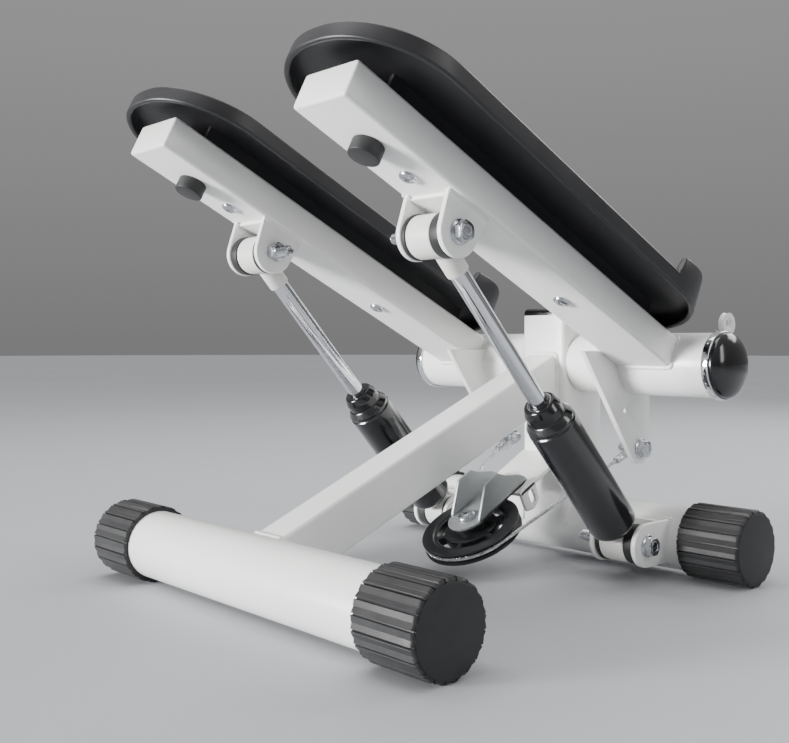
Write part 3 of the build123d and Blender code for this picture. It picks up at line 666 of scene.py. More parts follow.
def twisted_strands():
    """Lays strands round a line, as in a wire rope, over a straight core."""
    tree, given = new_tree("twisted_strands", ("Strands", "NodeSocketInt"), ("Radius", "NodeSocketFloat"),
                           ("Lay", "NodeSocketFloat"), ("Step", "NodeSocketFloat"),
                           ("Material", "NodeSocketMaterial"))
    path = add(tree, "GeometryNodeMeshToCurve", {"Mesh": given["Geometry"]})
    even = add(tree, "GeometryNodeResampleCurve", {"Curve": path, "Length": given["Step"]}, mode="LENGTH")
    copies = add(tree, "GeometryNodeDuplicateElements", {"Geometry": even, "Amount": given["Strands"]},
                 domain="SPLINE")
    share = add(tree, "ShaderNodeMath", {0: copies.outputs["Duplicate Index"], 1: given["Strands"]},
                operation="DIVIDE")
    run = add(tree, "ShaderNodeMath", {0: add(tree, "GeometryNodeSplineParameter").outputs["Length"],
                                       1: given["Lay"]}, operation="DIVIDE")
    turns = add(tree, "ShaderNodeMath", {0: share, 1: run}, operation="ADD")
    angle = add(tree, "ShaderNodeMath", {0: turns, 1: FULL_TURN}, operation="MULTIPLY")
    normal = add(tree, "GeometryNodeInputNormal")
    side = add(tree, "ShaderNodeVectorMath", {0: add(tree, "GeometryNodeInputTangent"), 1: normal},
               operation="CROSS_PRODUCT")
    strand_r = add(tree, "ShaderNodeMath", {0: given["Radius"], 1: 1 / 3}, operation="MULTIPLY")
    reach = add(tree, "ShaderNodeMath", {0: given["Radius"], 1: 2 / 3}, operation="MULTIPLY")
    cosine = add(tree, "ShaderNodeMath", {0: angle}, operation="COSINE")
    sine = add(tree, "ShaderNodeMath", {0: angle}, operation="SINE")
    one = add(tree, "ShaderNodeVectorMath", {0: normal, "Scale": cosine}, operation="SCALE")
    two = add(tree, "ShaderNodeVectorMath", {0: side, "Scale": sine}, operation="SCALE")
    both = add(tree, "ShaderNodeVectorMath", {0: one, 1: two}, operation="ADD")
    offset = add(tree, "ShaderNodeVectorMath", {0: both, "Scale": reach}, operation="SCALE")
    twisted = add(tree, "GeometryNodeSetPosition", {"Geometry": copies, "Offset": offset})
    outer = add(tree, "GeometryNodeCurvePrimitiveCircle", {"Resolution": 8, "Radius": strand_r})
    lines = add(tree, "GeometryNodeCurveToMesh", {"Curve": twisted, "Profile Curve": outer, "Fill Caps": True})
    core = add(tree, "GeometryNodeCurveToMesh", {"Curve": even, "Profile Curve": outer, "Fill Caps": True})
    rope = add(tree, "GeometryNodeJoinGeometry")
    tree.links.new(lines.outputs[0], rope.inputs[0])
    tree.links.new(core.outputs[0], rope.inputs[0])
    return close_tree(tree, given, add(tree, "GeometryNodeSetShadeSmooth", {"Geometry": rope}))


made_trees = {}


def grown(part, build, look, **values):
    """Runs a tree on a mesh that is in place, and gives back the plain mesh that it makes."""
    if build not in made_trees:
        made_trees[build] = build()
    tree = made_trees[build]
    mesh = bpy.data.meshes.new("seed")
    part.to_mesh(mesh)
    part.free()
    holder = bpy.data.objects.new("seed", mesh)
    bpy.context.collection.objects.link(holder)
    modifier = holder.modifiers.new("grow", "NODES")
    modifier.node_group = tree
    values["Material"] = finish(look)
    for item in tree.interface.items_tree:
        if item.in_out == "INPUT" and item.name in values:
            modifier[item.identifier] = values[item.name]
    evaluated = holder.evaluated_get(bpy.context.evaluated_depsgraph_get())
    plain = bpy.data.meshes.new_from_object(evaluated)
    holder.modifiers.clear()
    result = bmesh.new()
    result.from_mesh(plain)
    bpy.data.objects.remove(holder)
    bpy.data.meshes.remove(mesh)
    bpy.data.meshes.remove(plain)
    return result


def wire(points, closed=False):
    """Edges from point to point, for a tree that follows a line."""
    part = bmesh.new()
    verts = [part.verts.new(point) for point in points]
    for first, second in zip(verts, verts[1:] + (verts[:1] if closed else [])):
        part.edges.new((first, second))
    return part


def weld(points, place_matrix, closed=False, radius=None, seed=1):
    """Painted weld bead along points in millimetres."""
    path = moved(wire(points, closed), place_matrix)
    return grown(path, weld_bead, "paint", Radius=(radius or size("weld_radius")) * MM,
                 Ripple=size("weld_ripple") * MM, Seed=seed)


def saddle(half_width, half_height, tube_radius, corner=3.0):
    """Where a rectangular bar along Z meets a round tube along X that is centred at the origin."""
    spots = rounded_box(2 * half_width, 2 * half_height, corner, 3)
    return [Vector((spot.x, spot.y, math.sqrt(tube_radius ** 2 - spot.y ** 2))) for spot in spots]


def finely(points, step=4.0):
    """The same closed outline with more points on its long sides."""
    made = []
    for first, second in zip(points, points[1:] + points[:1]):
        parts = max(1, int((second - first).length / step))
        made += [first.lerp(second, k / parts) for k in range(parts)]
    return made


# ---- pieces: frame ----

def flange_bolt(inner, outer):
    """M8 flange bolt along Z: its head is past outer, and its thread ends at inner."""
    flange = turned(rounded([(0, outer), (8.6, outer), (8.2, outer + 1.0), (5.8, outer + 2.0), (0, outer + 2.0)],
                            [0, 0.3, 0.5, 0.4, 0], 3, False))
    head = hex_head(outer + 1.4, outer + 6.6)
    dimple = collar(3.2, 4.6, outer + 6.3, outer + 6.9, 0.25, 48)
    shank = moved(thread(-outer, -inner), Matrix.Rotation(math.pi, 4, "X"))
    return join(flange, head, dimple, shank)


def nut(start, stop):
    return hex_head(start, stop, both_ends=True)


CAP_START_X = 131.9


def foot_cap():
    """Ribbed cap on the right end of a cross tube, along X from its open end at the origin."""
    half_span = high("rear_foot_caps").x
    total = half_span - CAP_START_X
    outer_r = (high("rear_foot_caps").z - low("rear_foot_caps").z) / 2
    core_r = outer_r - size("rib_height")
    face_r = outer_r - 2.6
    profile = rounded([(TUBE_R, 4), (TUBE_R, 0), (core_r, 0), (core_r, total - 0.9), (face_r, total - 0.9),
                       (face_r, total), (0, total)], [0, 0.2, 0.3, 1.0, 0.2, 0.5, 0], 4, False)
    core = moved(turned(profile, 120), along_x())
    # one rib: a land that leans out at its top, a fine step, a land that leans out at its foot
    side = math.pi * outer_r / bpy.context.scene.stepper_sizes.rib_count - 0.7
    lands = [(-side - 0.05, core_r - 0.8), (-side, outer_r - 0.25), (-side + 0.25, outer_r - 0.05),
             (-0.25, outer_r - 0.85), (-0.05, outer_r - 0.8), (0.15, outer_r - 0.45), (side - 0.25, outer_r),
             (side, outer_r - 0.2), (side + 0.05, core_r - 0.8)]
    stations = ((0.05, 0.35), (0.45, 0.0), (total - 2.4, 0.0), (total - 1.6, 0.25), (total - 0.9, 0.8),
                (total - 0.45, 1.6))
    rings = [[Vector((x, across, reach - (drop if reach > core_r - 0.5 else 0))) for across, reach in lands]
             for x, drop in stations]
    ribs = grown(loft(rings), ring_of_ribs, "rubber", Count=bpy.context.scene.stepper_sizes.rib_count)
    return join(core, ribs), half_span - total


def add_foot_caps():
    for place_name, y in (("rear", REAR_Y), ("front", FRONT_Y)):
        cap, start = foot_cap()
        moved(cap, FLOOR_FRAME @ shift(start, y, TUBE_Z))
        both_sides(cap, f"{place_name}_foot_cap", "frame", "rubber", f"{place_name}_foot_caps", sharp=24)


BEAM_HEIGHT = 37.0
BEAM_SLOPE = math.radians(22.8)
BEAM_CORNER = 3.0
POST_CORNER = 4.0


def add_base():
    """Cross tubes, post, beam and their welds."""
    half = high("rear_cross_tube").x
    for name, y in (("rear_cross_tube", REAR_Y), ("front_cross_tube", FRONT_Y)):
        tube = moved(puck(TUBE_R, -half, half, 0.6, 120), FLOOR_FRAME @ along_x(0, y, TUBE_Z))
        settle(tube, name + "_painted", "frame", "paint", name)
    post_frame = FLOOR_FRAME @ shift(0, FRONT_Y)
    post_size = (2 * POST_HALF_WIDTH, 2 * POST_HALF_DEPTH)
    post = bar(*post_size, TUBE_Z, POST_TOP, POST_CORNER)
    settle(moved(post, post_frame), "post_painted", "frame", "paint", "post")
    plug = bar(*post_size, POST_TOP + 0.05, high("post_plug").z, POST_CORNER, 3.5)
    settle(moved(plug, post_frame), "post_cap", "frame", "plug", "post_plug")
    post_y = FRONT_Y - POST_HALF_DEPTH
    run = (post_y - REAR_Y) / math.cos(BEAM_SLOPE) + 6
    lay = FLOOR_FRAME @ shift(0, REAR_Y, TUBE_Z) @ Matrix.Rotation(BEAM_SLOPE - math.pi / 2, 4, "X")
    beam = bar(2 * BEAM_HALF_WIDTH, BEAM_HEIGHT, 12, run, BEAM_CORNER)
    settle(moved(beam, lay), "beam_painted", "frame", "paint", "centre_beam")
    rear_seam = weld(finely(saddle(BEAM_HALF_WIDTH, BEAM_HEIGHT / 2, TUBE_R)), lay, True, seed=3)
    beam_z = TUBE_Z + (post_y - REAR_Y) * math.tan(BEAM_SLOPE)
    post_face = [Vector((spot.x, post_y, beam_z + spot.y / math.cos(BEAM_SLOPE)))
                 for spot in rounded_box(2 * BEAM_HALF_WIDTH, BEAM_HEIGHT, BEAM_CORNER, 3)]
    post_seam = weld(finely(post_face), FLOOR_FRAME, True, seed=5)
    foot_arc = arc(TUBE_R, math.radians(178), math.radians(2), 22, (FRONT_Y, TUBE_Z))
    arcs = []
    for side in (-1, 1):
        line = [Vector((side * (POST_HALF_WIDTH + 0.2), *spot)) for spot in foot_arc]
        arcs.append(weld(line, FLOOR_FRAME, seed=7 + side))
    settle(join(rear_seam, post_seam, *arcs), "frame_welds", "frame", "paint", sharp=60)


def add_shaft_ends():
    shaft_end, seat = 140.0, 142.5
    washer = collar(BOLT_R + 0.2, 16, shaft_end, seat)
    screw = join(hex_head(seat, seat + 5.5), puck(BOLT_R, shaft_end - 20, seat + 0.5))
    part = moved(join(washer, screw), AXLE_FRAME @ along_x())
    both_sides(part, "shaft_end", "frame", "zinc", "shaft_end_fasteners")


def ear_outline(base_from, base_to, level, pivot, radius):
    """Ear with a round end about a pivot, and a straight base between two points at a level."""
    made = [Vector((base_to, level)), Vector((base_from, level))]
    start = Vector((base_from, level)) - Vector(pivot)
    stop = Vector((base_to, level)) - Vector(pivot)
    first = math.atan2(start.y, start.x) + math.acos(radius / start.length)
    last = math.atan2(stop.y, stop.x) - math.acos(radius / stop.length)
    if last < first:
        last += FULL_TURN
    return made + arc(radius, first, last, 24, pivot)


def ear_pair(outline, pivot):
    """The two ears of a right clevis, with their bolt holes."""
    hole = circle(BOLT_R + 0.2, pivot, 32)
    ears = [moved(sheet([outline, hole], EAR_THICKNESS, 0.9), across_x(x)) for x in
            (EAR_INNER + EAR_THICKNESS / 2, EAR_OUTER - EAR_THICKNESS / 2)]
    return join(*ears)


def clevis_bolt():
    """Bolt and nut of a right clevis, about Z."""
    return join(flange_bolt(EAR_INNER - 20, EAR_OUTER), nut(EAR_INNER - 6.5, EAR_INNER))


def add_lower_clevises():
    y, z = LOWER_PIVOT.y / MM, LOWER_PIVOT.z / MM
    tube_face = FRONT_Y - TUBE_R
    outline = [Vector((FRONT_Y - 6, z - EAR_R)), Vector((FRONT_Y - 6, z + EAR_R))]
    outline += arc(EAR_R, math.pi / 2, math.pi * 3 / 2, 24, (y, z))
    ears = ear_pair(outline, (y, z))
    web = moved(bar(EAR_OUTER - EAR_INNER - 1, 5.0, z - EAR_R + 1, z + EAR_R - 1, 1.0),
                shift(CYLINDER_X, tube_face - 1))
    part = moved(join(ears, web), FLOOR_FRAME)
    seams = []
    for x in (EAR_INNER, EAR_INNER + EAR_THICKNESS, EAR_OUTER - EAR_THICKNESS, EAR_OUTER):
        seam = [Vector((x, FRONT_Y - math.sqrt(TUBE_R ** 2 - rise ** 2), TUBE_Z + rise))
                for rise in [-EAR_R + EAR_R * k / 6 for k in range(13)]]
        seams.append(weld(seam, FLOOR_FRAME, radius=1.7, seed=int(x)))
    both_sides(join(part, *seams), "lower_clevis", "frame", "paint", "lower_clevises", sharp=50)
    bolt = moved(clevis_bolt(), FLOOR_FRAME @ along_x(0, y, z))
    both_sides(bolt, "lower_pivot_bolt", "frame", "zinc", "lower_clevis_bolts")


# ---- pieces: pulley and cable ----

PULLEY_R = 40.5
PULLEY_HALF = 4.75
CABLE_R = 1.5
CABLE_TURN_R = 38.5
SCREW_HOLE_R = 2.6
LEVER_END_R = 13.0


def arc_slot(radius, start, sweep, width):
    """Outline of a slot that follows an arc about the origin."""
    steps = 10
    outer, inner = [arc(radius + side, start, start + sweep, steps) for side in (width / 2, -width / 2)]
    corners = (0, steps, steps + 1, 2 * steps + 1)
    outline = outer + inner[::-1]
    return rounded(outline, [width * 0.45 if i in corners else 0 for i in range(len(outline))], 4)


def add_pulley():
    half, groove, web, hub_top = PULLEY_HALF, 2.1, 3.6, 9.0
    rim = rounded([(30.5, -web), (31.5, -half), (PULLEY_R, -half), (PULLEY_R, -half + 1.3), (36.8, -groove + 0.4),
                   (36.3, 0), (36.8, groove - 0.4), (PULLEY_R, half - 1.3), (PULLEY_R, half), (31.5, half),
                   (30.5, web)], [0.2, 0.6, 0.6, 0.5, 0.6, 0.6, 0.6, 0.5, 0.6, 0.6, 0.2], 3)
    slots = [arc_slot(25, math.radians(60 * k - 7), math.radians(50), 6) for k in range(6)]
    disc = sheet([circle(31.4, steps=96), circle(8, steps=32), *slots], 2 * web, 0.7)
    hub = collar(7.05, 12.0, -half, hub_top, 0.8)
    part = join(turned(rim, 120, True), disc, hub)
    settle(moved(part, PULLEY_FRAME), "pulley_wheel_moulding", "pulley_wheel", "wheel", "pulley")


def slot_outline(width, height, centre=(0, 0)):
    """Slot with round ends, as a box whose corners take nearly half of its narrow side."""
    return [spot + Vector(centre) for spot in rounded_box(width, height, min(width, height) * 0.499, 6)]


def add_pulley_bracket():
    """Grey tongue with its two cheeks, the white base with its lugs, and their fasteners."""
    lowest, highest, half, reach = 9.8, 12.3, 16.0, 60.0
    tip = arc(half, math.pi, FULL_TURN, 24)
    screws = [(-8, 53), (8, 53)]
    holes = [circle(SCREW_HOLE_R, spot, 20) for spot in screws]
    tongue = moved(sheet([[*tip, Vector((half, reach)), Vector((-half, reach))], circle(BOLT_R + 0.2, steps=32),
                          *holes], highest - lowest, 0.6), shift(z=(lowest + highest) / 2))
    cheek = rounded([(-2, lowest + 0.1), (-2, 13.5), (17, 34.5), (33, 34.2), (40.3, 27.6),
                     (54.3, 19.6), (reach, 14), (reach, lowest + 0.1)], [0.5, 1.5, 4, 4, 4, 3, 2, 0.5], 4)
    cheeks = [moved(sheet([cheek], 2.5, 0.6), across_x(side * (half - 1.25))) for side in (-1, 1)]
    settle(moved(join(tongue, *cheeks), PULLEY_FRAME), "pulley_tongue", "frame", "sheet", "pulley_bracket")
    low_face, half, start, end = 6.5, 22.0, 42.5, 103.5
    holes = [circle(SCREW_HOLE_R, spot, 20) for spot in screws]
    edge = [Vector((-half, start)), Vector((half, start)), Vector((half, end)), Vector((-half, end))]
    plate = moved(sheet([edge, *holes], lowest - low_face, 0.5), shift(z=(lowest + low_face) / 2))
    lug = rounded([(start, lowest), (57, 14), (61, 13), (62.5, 5), (60, -7), (52, -11), (start, -8)],
                  [0.6, 2, 2, 3, 3, 4, 2], 4)
    lugs = [moved(sheet([lug, slot_outline(6, 12, (54, -0.5))], 3, 0.8), across_x(side * (half - 1.5)))
            for side in (-1, 1)]
    settle(moved(join(plate, *lugs), PULLEY_FRAME), "pulley_base_painted", "frame", "paint", "pulley_base")
    bolt = join(moved(pan_head(7.5, 4.0), shift(z=highest)), puck(BOLT_R, -19, highest, 0.5), nut(-12, -6))
    settle(moved(bolt, PULLEY_FRAME), "pulley_pivot_bolt", "frame", "zinc", "pulley_bolt", sharp=40)
    heads = [moved(pan_head(4.6, 3.0), shift(*spot, highest)) for spot in screws]
    settle(moved(join(*heads), PULLEY_FRAME), "bracket_screw_heads", "frame", "zinc", "bracket_screws", sharp=40)


def pan_head(radius, height):
    """Domed screw head about Z from the plane up, with a cross recess."""
    steps, arms = 96, 4
    levels = [(radius, 0.0), (radius, 0.25), (0.93, 0.62), (0.78, 0.84), (0.58, 0.95), (0.42, 0.985)]
    rings = []
    for k, (reach, rise) in enumerate(levels):
        reach = reach if k < 2 else reach * radius
        rings.append(lifted(circle(reach, steps=steps), rise * height))

    def recess(scale, rise):
        ring = []
        for i in range(steps):
            turn = FULL_TURN * i / steps
            swing = abs((turn * arms / FULL_TURN) % 1 - 0.5) * 2
            reach = radius * scale * (0.16 + 0.40 * max(0.0, swing - 0.62) / 0.38 + 0.05 * swing)
            ring.append(Vector((reach * math.cos(turn), reach * math.sin(turn), rise * height)))
        return ring

    rings += [recess(1.0, 1.0), recess(0.86, 0.62), recess(0.3, 0.3), [Vector((0, 0, 0.28 * height))]]
    return loft(rings)


def cable_points():
    """Right half of the cable's line in the pulley's frame, from the ferrule to the middle of its turn."""
    reach = Vector((LEVER_X - CABLE_R, anchor_in_pulley_frame().y, 0))
    turn = math.atan2(reach.y, reach.x) - math.acos(CABLE_TURN_R / reach.xy.length)
    touch = Vector((CABLE_TURN_R * math.cos(turn), CABLE_TURN_R * math.sin(turn), 0))
    return reach, touch, turn


def anchor_in_pulley_frame():
    """Where the cable's bolt crosses the middle plane, in the pulley's own millimetres."""
    ends = middle("cable_anchor_right")
    bolt = Vector((0, ends.y, ends.z))
    bolt.y = high("lever_plate_right").y - LEVER_END_R
    bolt.z = low("lever_plate_right").z + LEVER_END_R
    return PULLEY_FRAME.inverted() @ (bolt * MM)


def add_cable():
    """Wire rope: one part round the pulley rides the frame, and a straight run goes from each side's cable fitting
    to the pulley.
    """
    reach, touch, turn = cable_points()
    run = (touch - reach).normalized()
    start = reach + run * 20
    bend = [spot.to_3d() for spot in arc(CABLE_TURN_R, turn, -math.pi - turn, 40)]
    values = {"Strands": bpy.context.scene.stepper_sizes.strand_count, "Radius": CABLE_R * MM,
              "Lay": size("rope_lay") * MM, "Step": 0.9 * MM}
    middle_part = grown(moved(wire(bend), PULLEY_FRAME), twisted_strands, "rope", **values)
    settle(middle_part, "cable_round_pulley", "frame", "rope", "steel_cable", sharp=70)
    for side, mirror in (("left", MIRROR), ("right", Matrix.Identity(4))):
        line = [start.lerp(touch, k / 12) for k in range(13)]
        line[-1] = touch + run * 0.4
        strands = grown(moved(wire(line), PULLEY_FRAME), twisted_strands, "rope", **values)
        piece = settle(moved(strands, mirror), f"cable_run_{side}", None, "rope", "steel_cable", sharp=70)
        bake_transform(piece)


# ---- pieces: swinging arms ----

def add_sleeves():
    inner_r = TUBE_R - 2
    tube = collar(inner_r, TUBE_R, SLEEVE_START, SLEEVE_END, 0.5, 120)
    both_sides(moved(tube, AXLE_FRAME @ along_x()), "sleeve_painted", "arm", "paint", "sleeve")
    brim, rise = 1.6, 10
    dome = [(TUBE_R * spot.x, brim + rise * spot.y) for spot in arc(1, 0, math.pi / 2, 12)]
    plug = turned([(0, -6), (inner_r - 0.2, -6), (inner_r - 0.2, 0.05), (TUBE_R - 0.2, 0.05), (TUBE_R, 0.5),
                   *dome[:-1], (0, dome[-1][1])], 96)
    both_sides(moved(plug, AXLE_FRAME @ along_x(SLEEVE_END)), "sleeve_end_plug", "arm", "plug", "sleeve_plug",
               sharp=50)
    band_r = (high("band_ring_right").y - low("band_ring_right").y) / 2
    width = 5.5
    band = collar(TUBE_R, band_r, SLEEVE_END - width, SLEEVE_END + 0.4, 0.6, 96)
    dots = [moved(puck(0.9, 0, 0.45, 0.2, 16), Matrix.Rotation(math.radians(18 * k + 9), 4, "Z")
                  @ shift(band_r - 0.2, 0, SLEEVE_END - width / 2) @ Matrix.Rotation(math.pi / 2, 4, "Y"))
            for k in range(20)]
    eye_z = TUBE_R + 8.6
    lug = ear_outline(-9.5, 9.5, TUBE_R - 1.0, (0, eye_z - 1.0), 7.6)
    eye = moved(sheet([lug, slot_outline(6.4, 7.6, (0, eye_z))], 4.0, 1.2), across_x(SLEEVE_END - width + 2.0))
    lean = AXLE_FRAME @ Matrix.Rotation(math.radians(-14), 4, "X")
    ring = join(moved(band, lean @ along_x()), moved(join(*dots), lean @ along_x()))
    both_sides(ring, "band_bright", "arm", "chrome", "band_ring")
    both_sides(moved(eye, lean), "band_eye", "arm", "paint", "band_ring", sharp=50)


def add_arms():
    """Arm tubes with their closed ends, welds and bumpers."""
    tube = bar(ARM_WIDTH, ARM_HEIGHT, 21, ARM_LENGTH, size("tube_corner"), 2.0)
    lay = ARM_FRAME @ shift(ARM_X) @ Matrix.Rotation(math.pi / 2, 4, "X")
    both_sides(moved(tube, lay), "arm_painted", "arm", "paint", "arm_tube", "arm_end_plate")
    seam = weld(finely(saddle(ARM_WIDTH / 2, ARM_HEIGHT / 2, TUBE_R)), lay, True, seed=11)
    both_sides(seam, "arm_weld", "arm", "paint", sharp=60)
    rubber = puck(10.5, -10, 0.1, 1.0, 64)
    both_sides(moved(rubber, ARM_FRAME @ shift(ARM_X, -BUMPER_STATION, -ARM_HEIGHT / 2)), "bumper_puck", "arm",
               "rubber", "bumper")
    head = moved(pan_head(6.2, 3.2), Matrix.Rotation(math.pi, 4, "X"))
    screws = []
    for station in SCREW_STATIONS:
        screws.append(moved(head.copy(), ARM_FRAME @ shift(ARM_X, -station, -ARM_HEIGHT / 2)))
    head.free()
    both_sides(join(*screws), "pedal_screw_heads", "arm", "zinc", "pedal_screws", sharp=40)


def add_upper_clevises():
    pivot = (-UPPER_PIVOT_ALONG, -UPPER_PIVOT_BELOW)
    top = -ARM_HEIGHT / 2
    outline = ear_outline(pivot[0] - EAR_BASE, pivot[0] + EAR_BASE, top, pivot, EAR_R)
    web = moved(bar(EAR_OUTER - EAR_INNER - 1, 2 * EAR_R, top - 2.5, top, 1.0), shift(CYLINDER_X, pivot[0]))
    seams = []
    for x in (EAR_INNER, EAR_OUTER):
        line = [Vector((x, pivot[0] - EAR_BASE + 2 * EAR_BASE * k / 10, top)) for k in range(11)]
        seams.append(weld(line, ARM_FRAME, radius=1.4, seed=int(x)))
    part = moved(join(ear_pair(outline, pivot), web), ARM_FRAME)
    both_sides(join(part, *seams), "upper_clevis_painted", "arm", "paint", "upper_clevis", sharp=50)
    bolt = moved(clevis_bolt(), ARM_FRAME @ along_x(0, *pivot))
    both_sides(bolt, "upper_pivot_bolt", "arm", "zinc", "upper_clevis_bolt")


def lever_outline():
    """Gusset on the inner side of the arm, as (y, z) points from the floor's origin."""
    axle_y, axle_z = AXLE.y / MM, AXLE.z / MM
    bolt = PULLEY_FRAME @ anchor_in_pulley_frame() / MM
    top = axle_z + 11.1
    near_top = Vector((axle_y - 67.3, top))
    slope = math.atan2(near_top.y - bolt.z, near_top.x - bolt.y) + math.pi / 2
    round_end = arc(LEVER_END_R, slope, FULL_TURN, 16, (bolt.y, bolt.z))
    far_top = Vector((bolt.y + LEVER_END_R, axle_z - 14))
    return [near_top, *round_end, far_top, Vector((axle_y + 5, top))], bolt


def add_lever_plates():
    outline, bolt = lever_outline()
    axle_y, axle_z = AXLE.y / MM, AXLE.z / MM
    holes = [circle(BOLT_R + 0.2, (bolt.y, bolt.z), 32),
             circle(SCREW_HOLE_R, (axle_y - 13.5, axle_z - 37.4), 24)]
    plate = moved(sheet([outline, *holes], LEVER_STOP - LEVER_X, 0.7), across_x((LEVER_X + LEVER_STOP) / 2))
    under_sleeve = arc(TUBE_R, math.pi, math.radians(330), 15, (axle_y, axle_z))
    seam = weld([Vector((LEVER_X, *spot)) for spot in under_sleeve], FLOOR_FRAME, radius=1.6, seed=17)
    both_sides(join(moved(plate, FLOOR_FRAME), seam), "lever_plate_painted", "arm", "paint", "lever_plate",
               sharp=50)
    fastener = join(flange_bolt(LEVER_X - 15, LEVER_STOP), nut(LEVER_X - 9.5, LEVER_X - 3))
    eyelet = collar(BOLT_R, 8, LEVER_X - 3, LEVER_X, 0.4)
    hardware = moved(join(fastener, eyelet), FLOOR_FRAME @ along_x(0, bolt.y, bolt.z))
    reach, touch, _ = cable_points()
    run = (touch - reach).normalized()
    aim = run.to_track_quat("Z", "Y").to_matrix().to_4x4()
    barrel = puck(3.0, 6, 22, 0.8)
    pinches = [collar(2.4, 3.15, start, start + 2.2, 0.3, 32) for start in (9, 13, 17)]
    ferrule = moved(join(barrel, *pinches), PULLEY_FRAME @ Matrix.Translation(reach) @ aim)
    both_sides(join(hardware, ferrule), "cable_end_fitting", "arm", "zinc", "cable_anchor")


# ---- pieces: pedals ----

PEDAL_HEEL = 399.0
PEDAL_TOE = 30.0
HEEL_R = 62.0
TOE_R = 60.0
SKIRT = 15.0
DECK = 27.0
WALL_START = 99.0
WALL_HEIGHT = 17.0
RAIL_X = 17.0
RAIL_LENGTH = 292.0
RAIL_MIDDLE = 204.0


def pedal_loop(inset):
    """Pedal outline in the arm's frame, moved in by inset, always with the same number of points."""
    half = (high("pedal_right").x - low("pedal_right").x) / 2 - inset
    heel_r, toe_r = HEEL_R - inset, TOE_R - inset
    heel, toe = -PEDAL_HEEL + inset, -PEDAL_TOE - inset
    side_stations = [toe - toe_r - step for step in (2, 4, 5, 6, 7, 8, 9, 10, 12, 16, 30, 60, 100, 140, 180, 210)]
    loop = arc(toe_r, math.pi / 2, 0, 18, (half - toe_r, toe - toe_r))
    loop += [Vector((half, y)) for y in side_stations]
    loop += arc(heel_r, 0, -math.pi / 2, 18, (half - heel_r, heel + heel_r))
    return loop + [Vector((-spot.x, spot.y)) for spot in reversed(loop)]


def wall_rise(y):
    """How far the toe wall stands above the deck at a place along the pedal."""
    into = WALL_START + y
    if into <= 0:
        return 0.0
    share = min(into / 5.5, 1.0)
    return share * share * (3 - 2 * share) * (WALL_HEIGHT - 3.5) + min(max(into - 5.5, 0) / 30, 1) * 3.5


def pedal_shell():
    """Moulded shell: lip, outer wall, toe wall, deck and hollow underside."""
    # inset from the outline, height, and the share of the toe wall's rise that the row takes
    rows = [(3.0, SKIRT + 3.4, 0), (3.8, SKIRT + 2.0, 0), (3.6, SKIRT + 0.8, 0), (2.8, SKIRT + 0.15, 0),
            (1.8, SKIRT, 0), (0.8, SKIRT + 0.2, 0), (0.15, SKIRT + 0.9, 0), (0.0, SKIRT + 2.0, 0),
            (0.0, DECK - 1.6, 0),
            (0.0, DECK - 1.5, 1), (0.4, DECK - 0.6, 1), (1.4, DECK, 1), (3.6, DECK, 1), (4.6, DECK - 0.5, 1),
            (5.0, DECK - 0.4, 0.9), (5.2, DECK - 0.3, 0.06), (6.2, DECK - 0.4, 0.0), (8.0, DECK - 0.4, 0.0)]
    outer = pedal_loop(0)
    rings = [lifted(pedal_loop(3.0), DECK - 3)]
    for inset, height, share in rows:
        ring = []
        for spot, edge in zip(pedal_loop(inset), outer):
            ring.append(spot.to_3d() + Vector((0, 0, height + share * wall_rise(edge.y))))
        rings.append(ring)
    return loft(rings)


def add_pedals():
    seat, under = ARM_HEIGHT / 2, DECK - 2.8
    rails = [moved(bar(4, RAIL_LENGTH, seat, under, 0.8), shift(x, -RAIL_MIDDLE)) for x in (-RAIL_X, RAIL_X)]
    bosses = [moved(puck(9, seat, under, 0.5), shift(0, -station)) for station in SCREW_STATIONS]
    lay = ARM_FRAME @ shift(ARM_X)
    body = join(pedal_shell(), *rails, *bosses)
    both_sides(moved(body, lay), "pedal_moulding", "arm", "pedal", "pedal", sharp=38)
    step = size("tread_pitch")
    seeds = bmesh.new()
    margin = 13.0
    for row in range(int((PEDAL_HEEL - PEDAL_TOE) / step)):
        for column in range(-5, 6):
            spot = Vector((column * step, -PEDAL_TOE - 12 - row * step))
            if inside_pedal(spot, margin):
                seeds.verts.new((spot.x, spot.y, DECK - 0.4 + size("tread_height") / 2 - 0.1))
    bars = grown(seeds, tread_bars, "pedal", Length=8.6, Width=2.8, Height=size("tread_height") + 0.5,
                 Turn=math.radians(45))
    both_sides(moved(bars, lay), "tread_bars", "arm", "pedal", sharp=60)


def inside_pedal(spot, margin):
    """True where a point of the deck is at least margin away from the pedal's edge."""
    half = (high("pedal_right").x - low("pedal_right").x) / 2
    for end, radius, way in ((-PEDAL_TOE, TOE_R, 1), (-PEDAL_HEEL, HEEL_R, -1)):
        past = (spot.y - end) * way + radius
        if past > 0:
            corner_x = max(abs(spot.x) - (half - radius), 0)
            if math.hypot(corner_x, past) > radius - margin:
                return False
    return abs(spot.x) <= half - margin


# ---- pieces: hydraulic cylinders ----

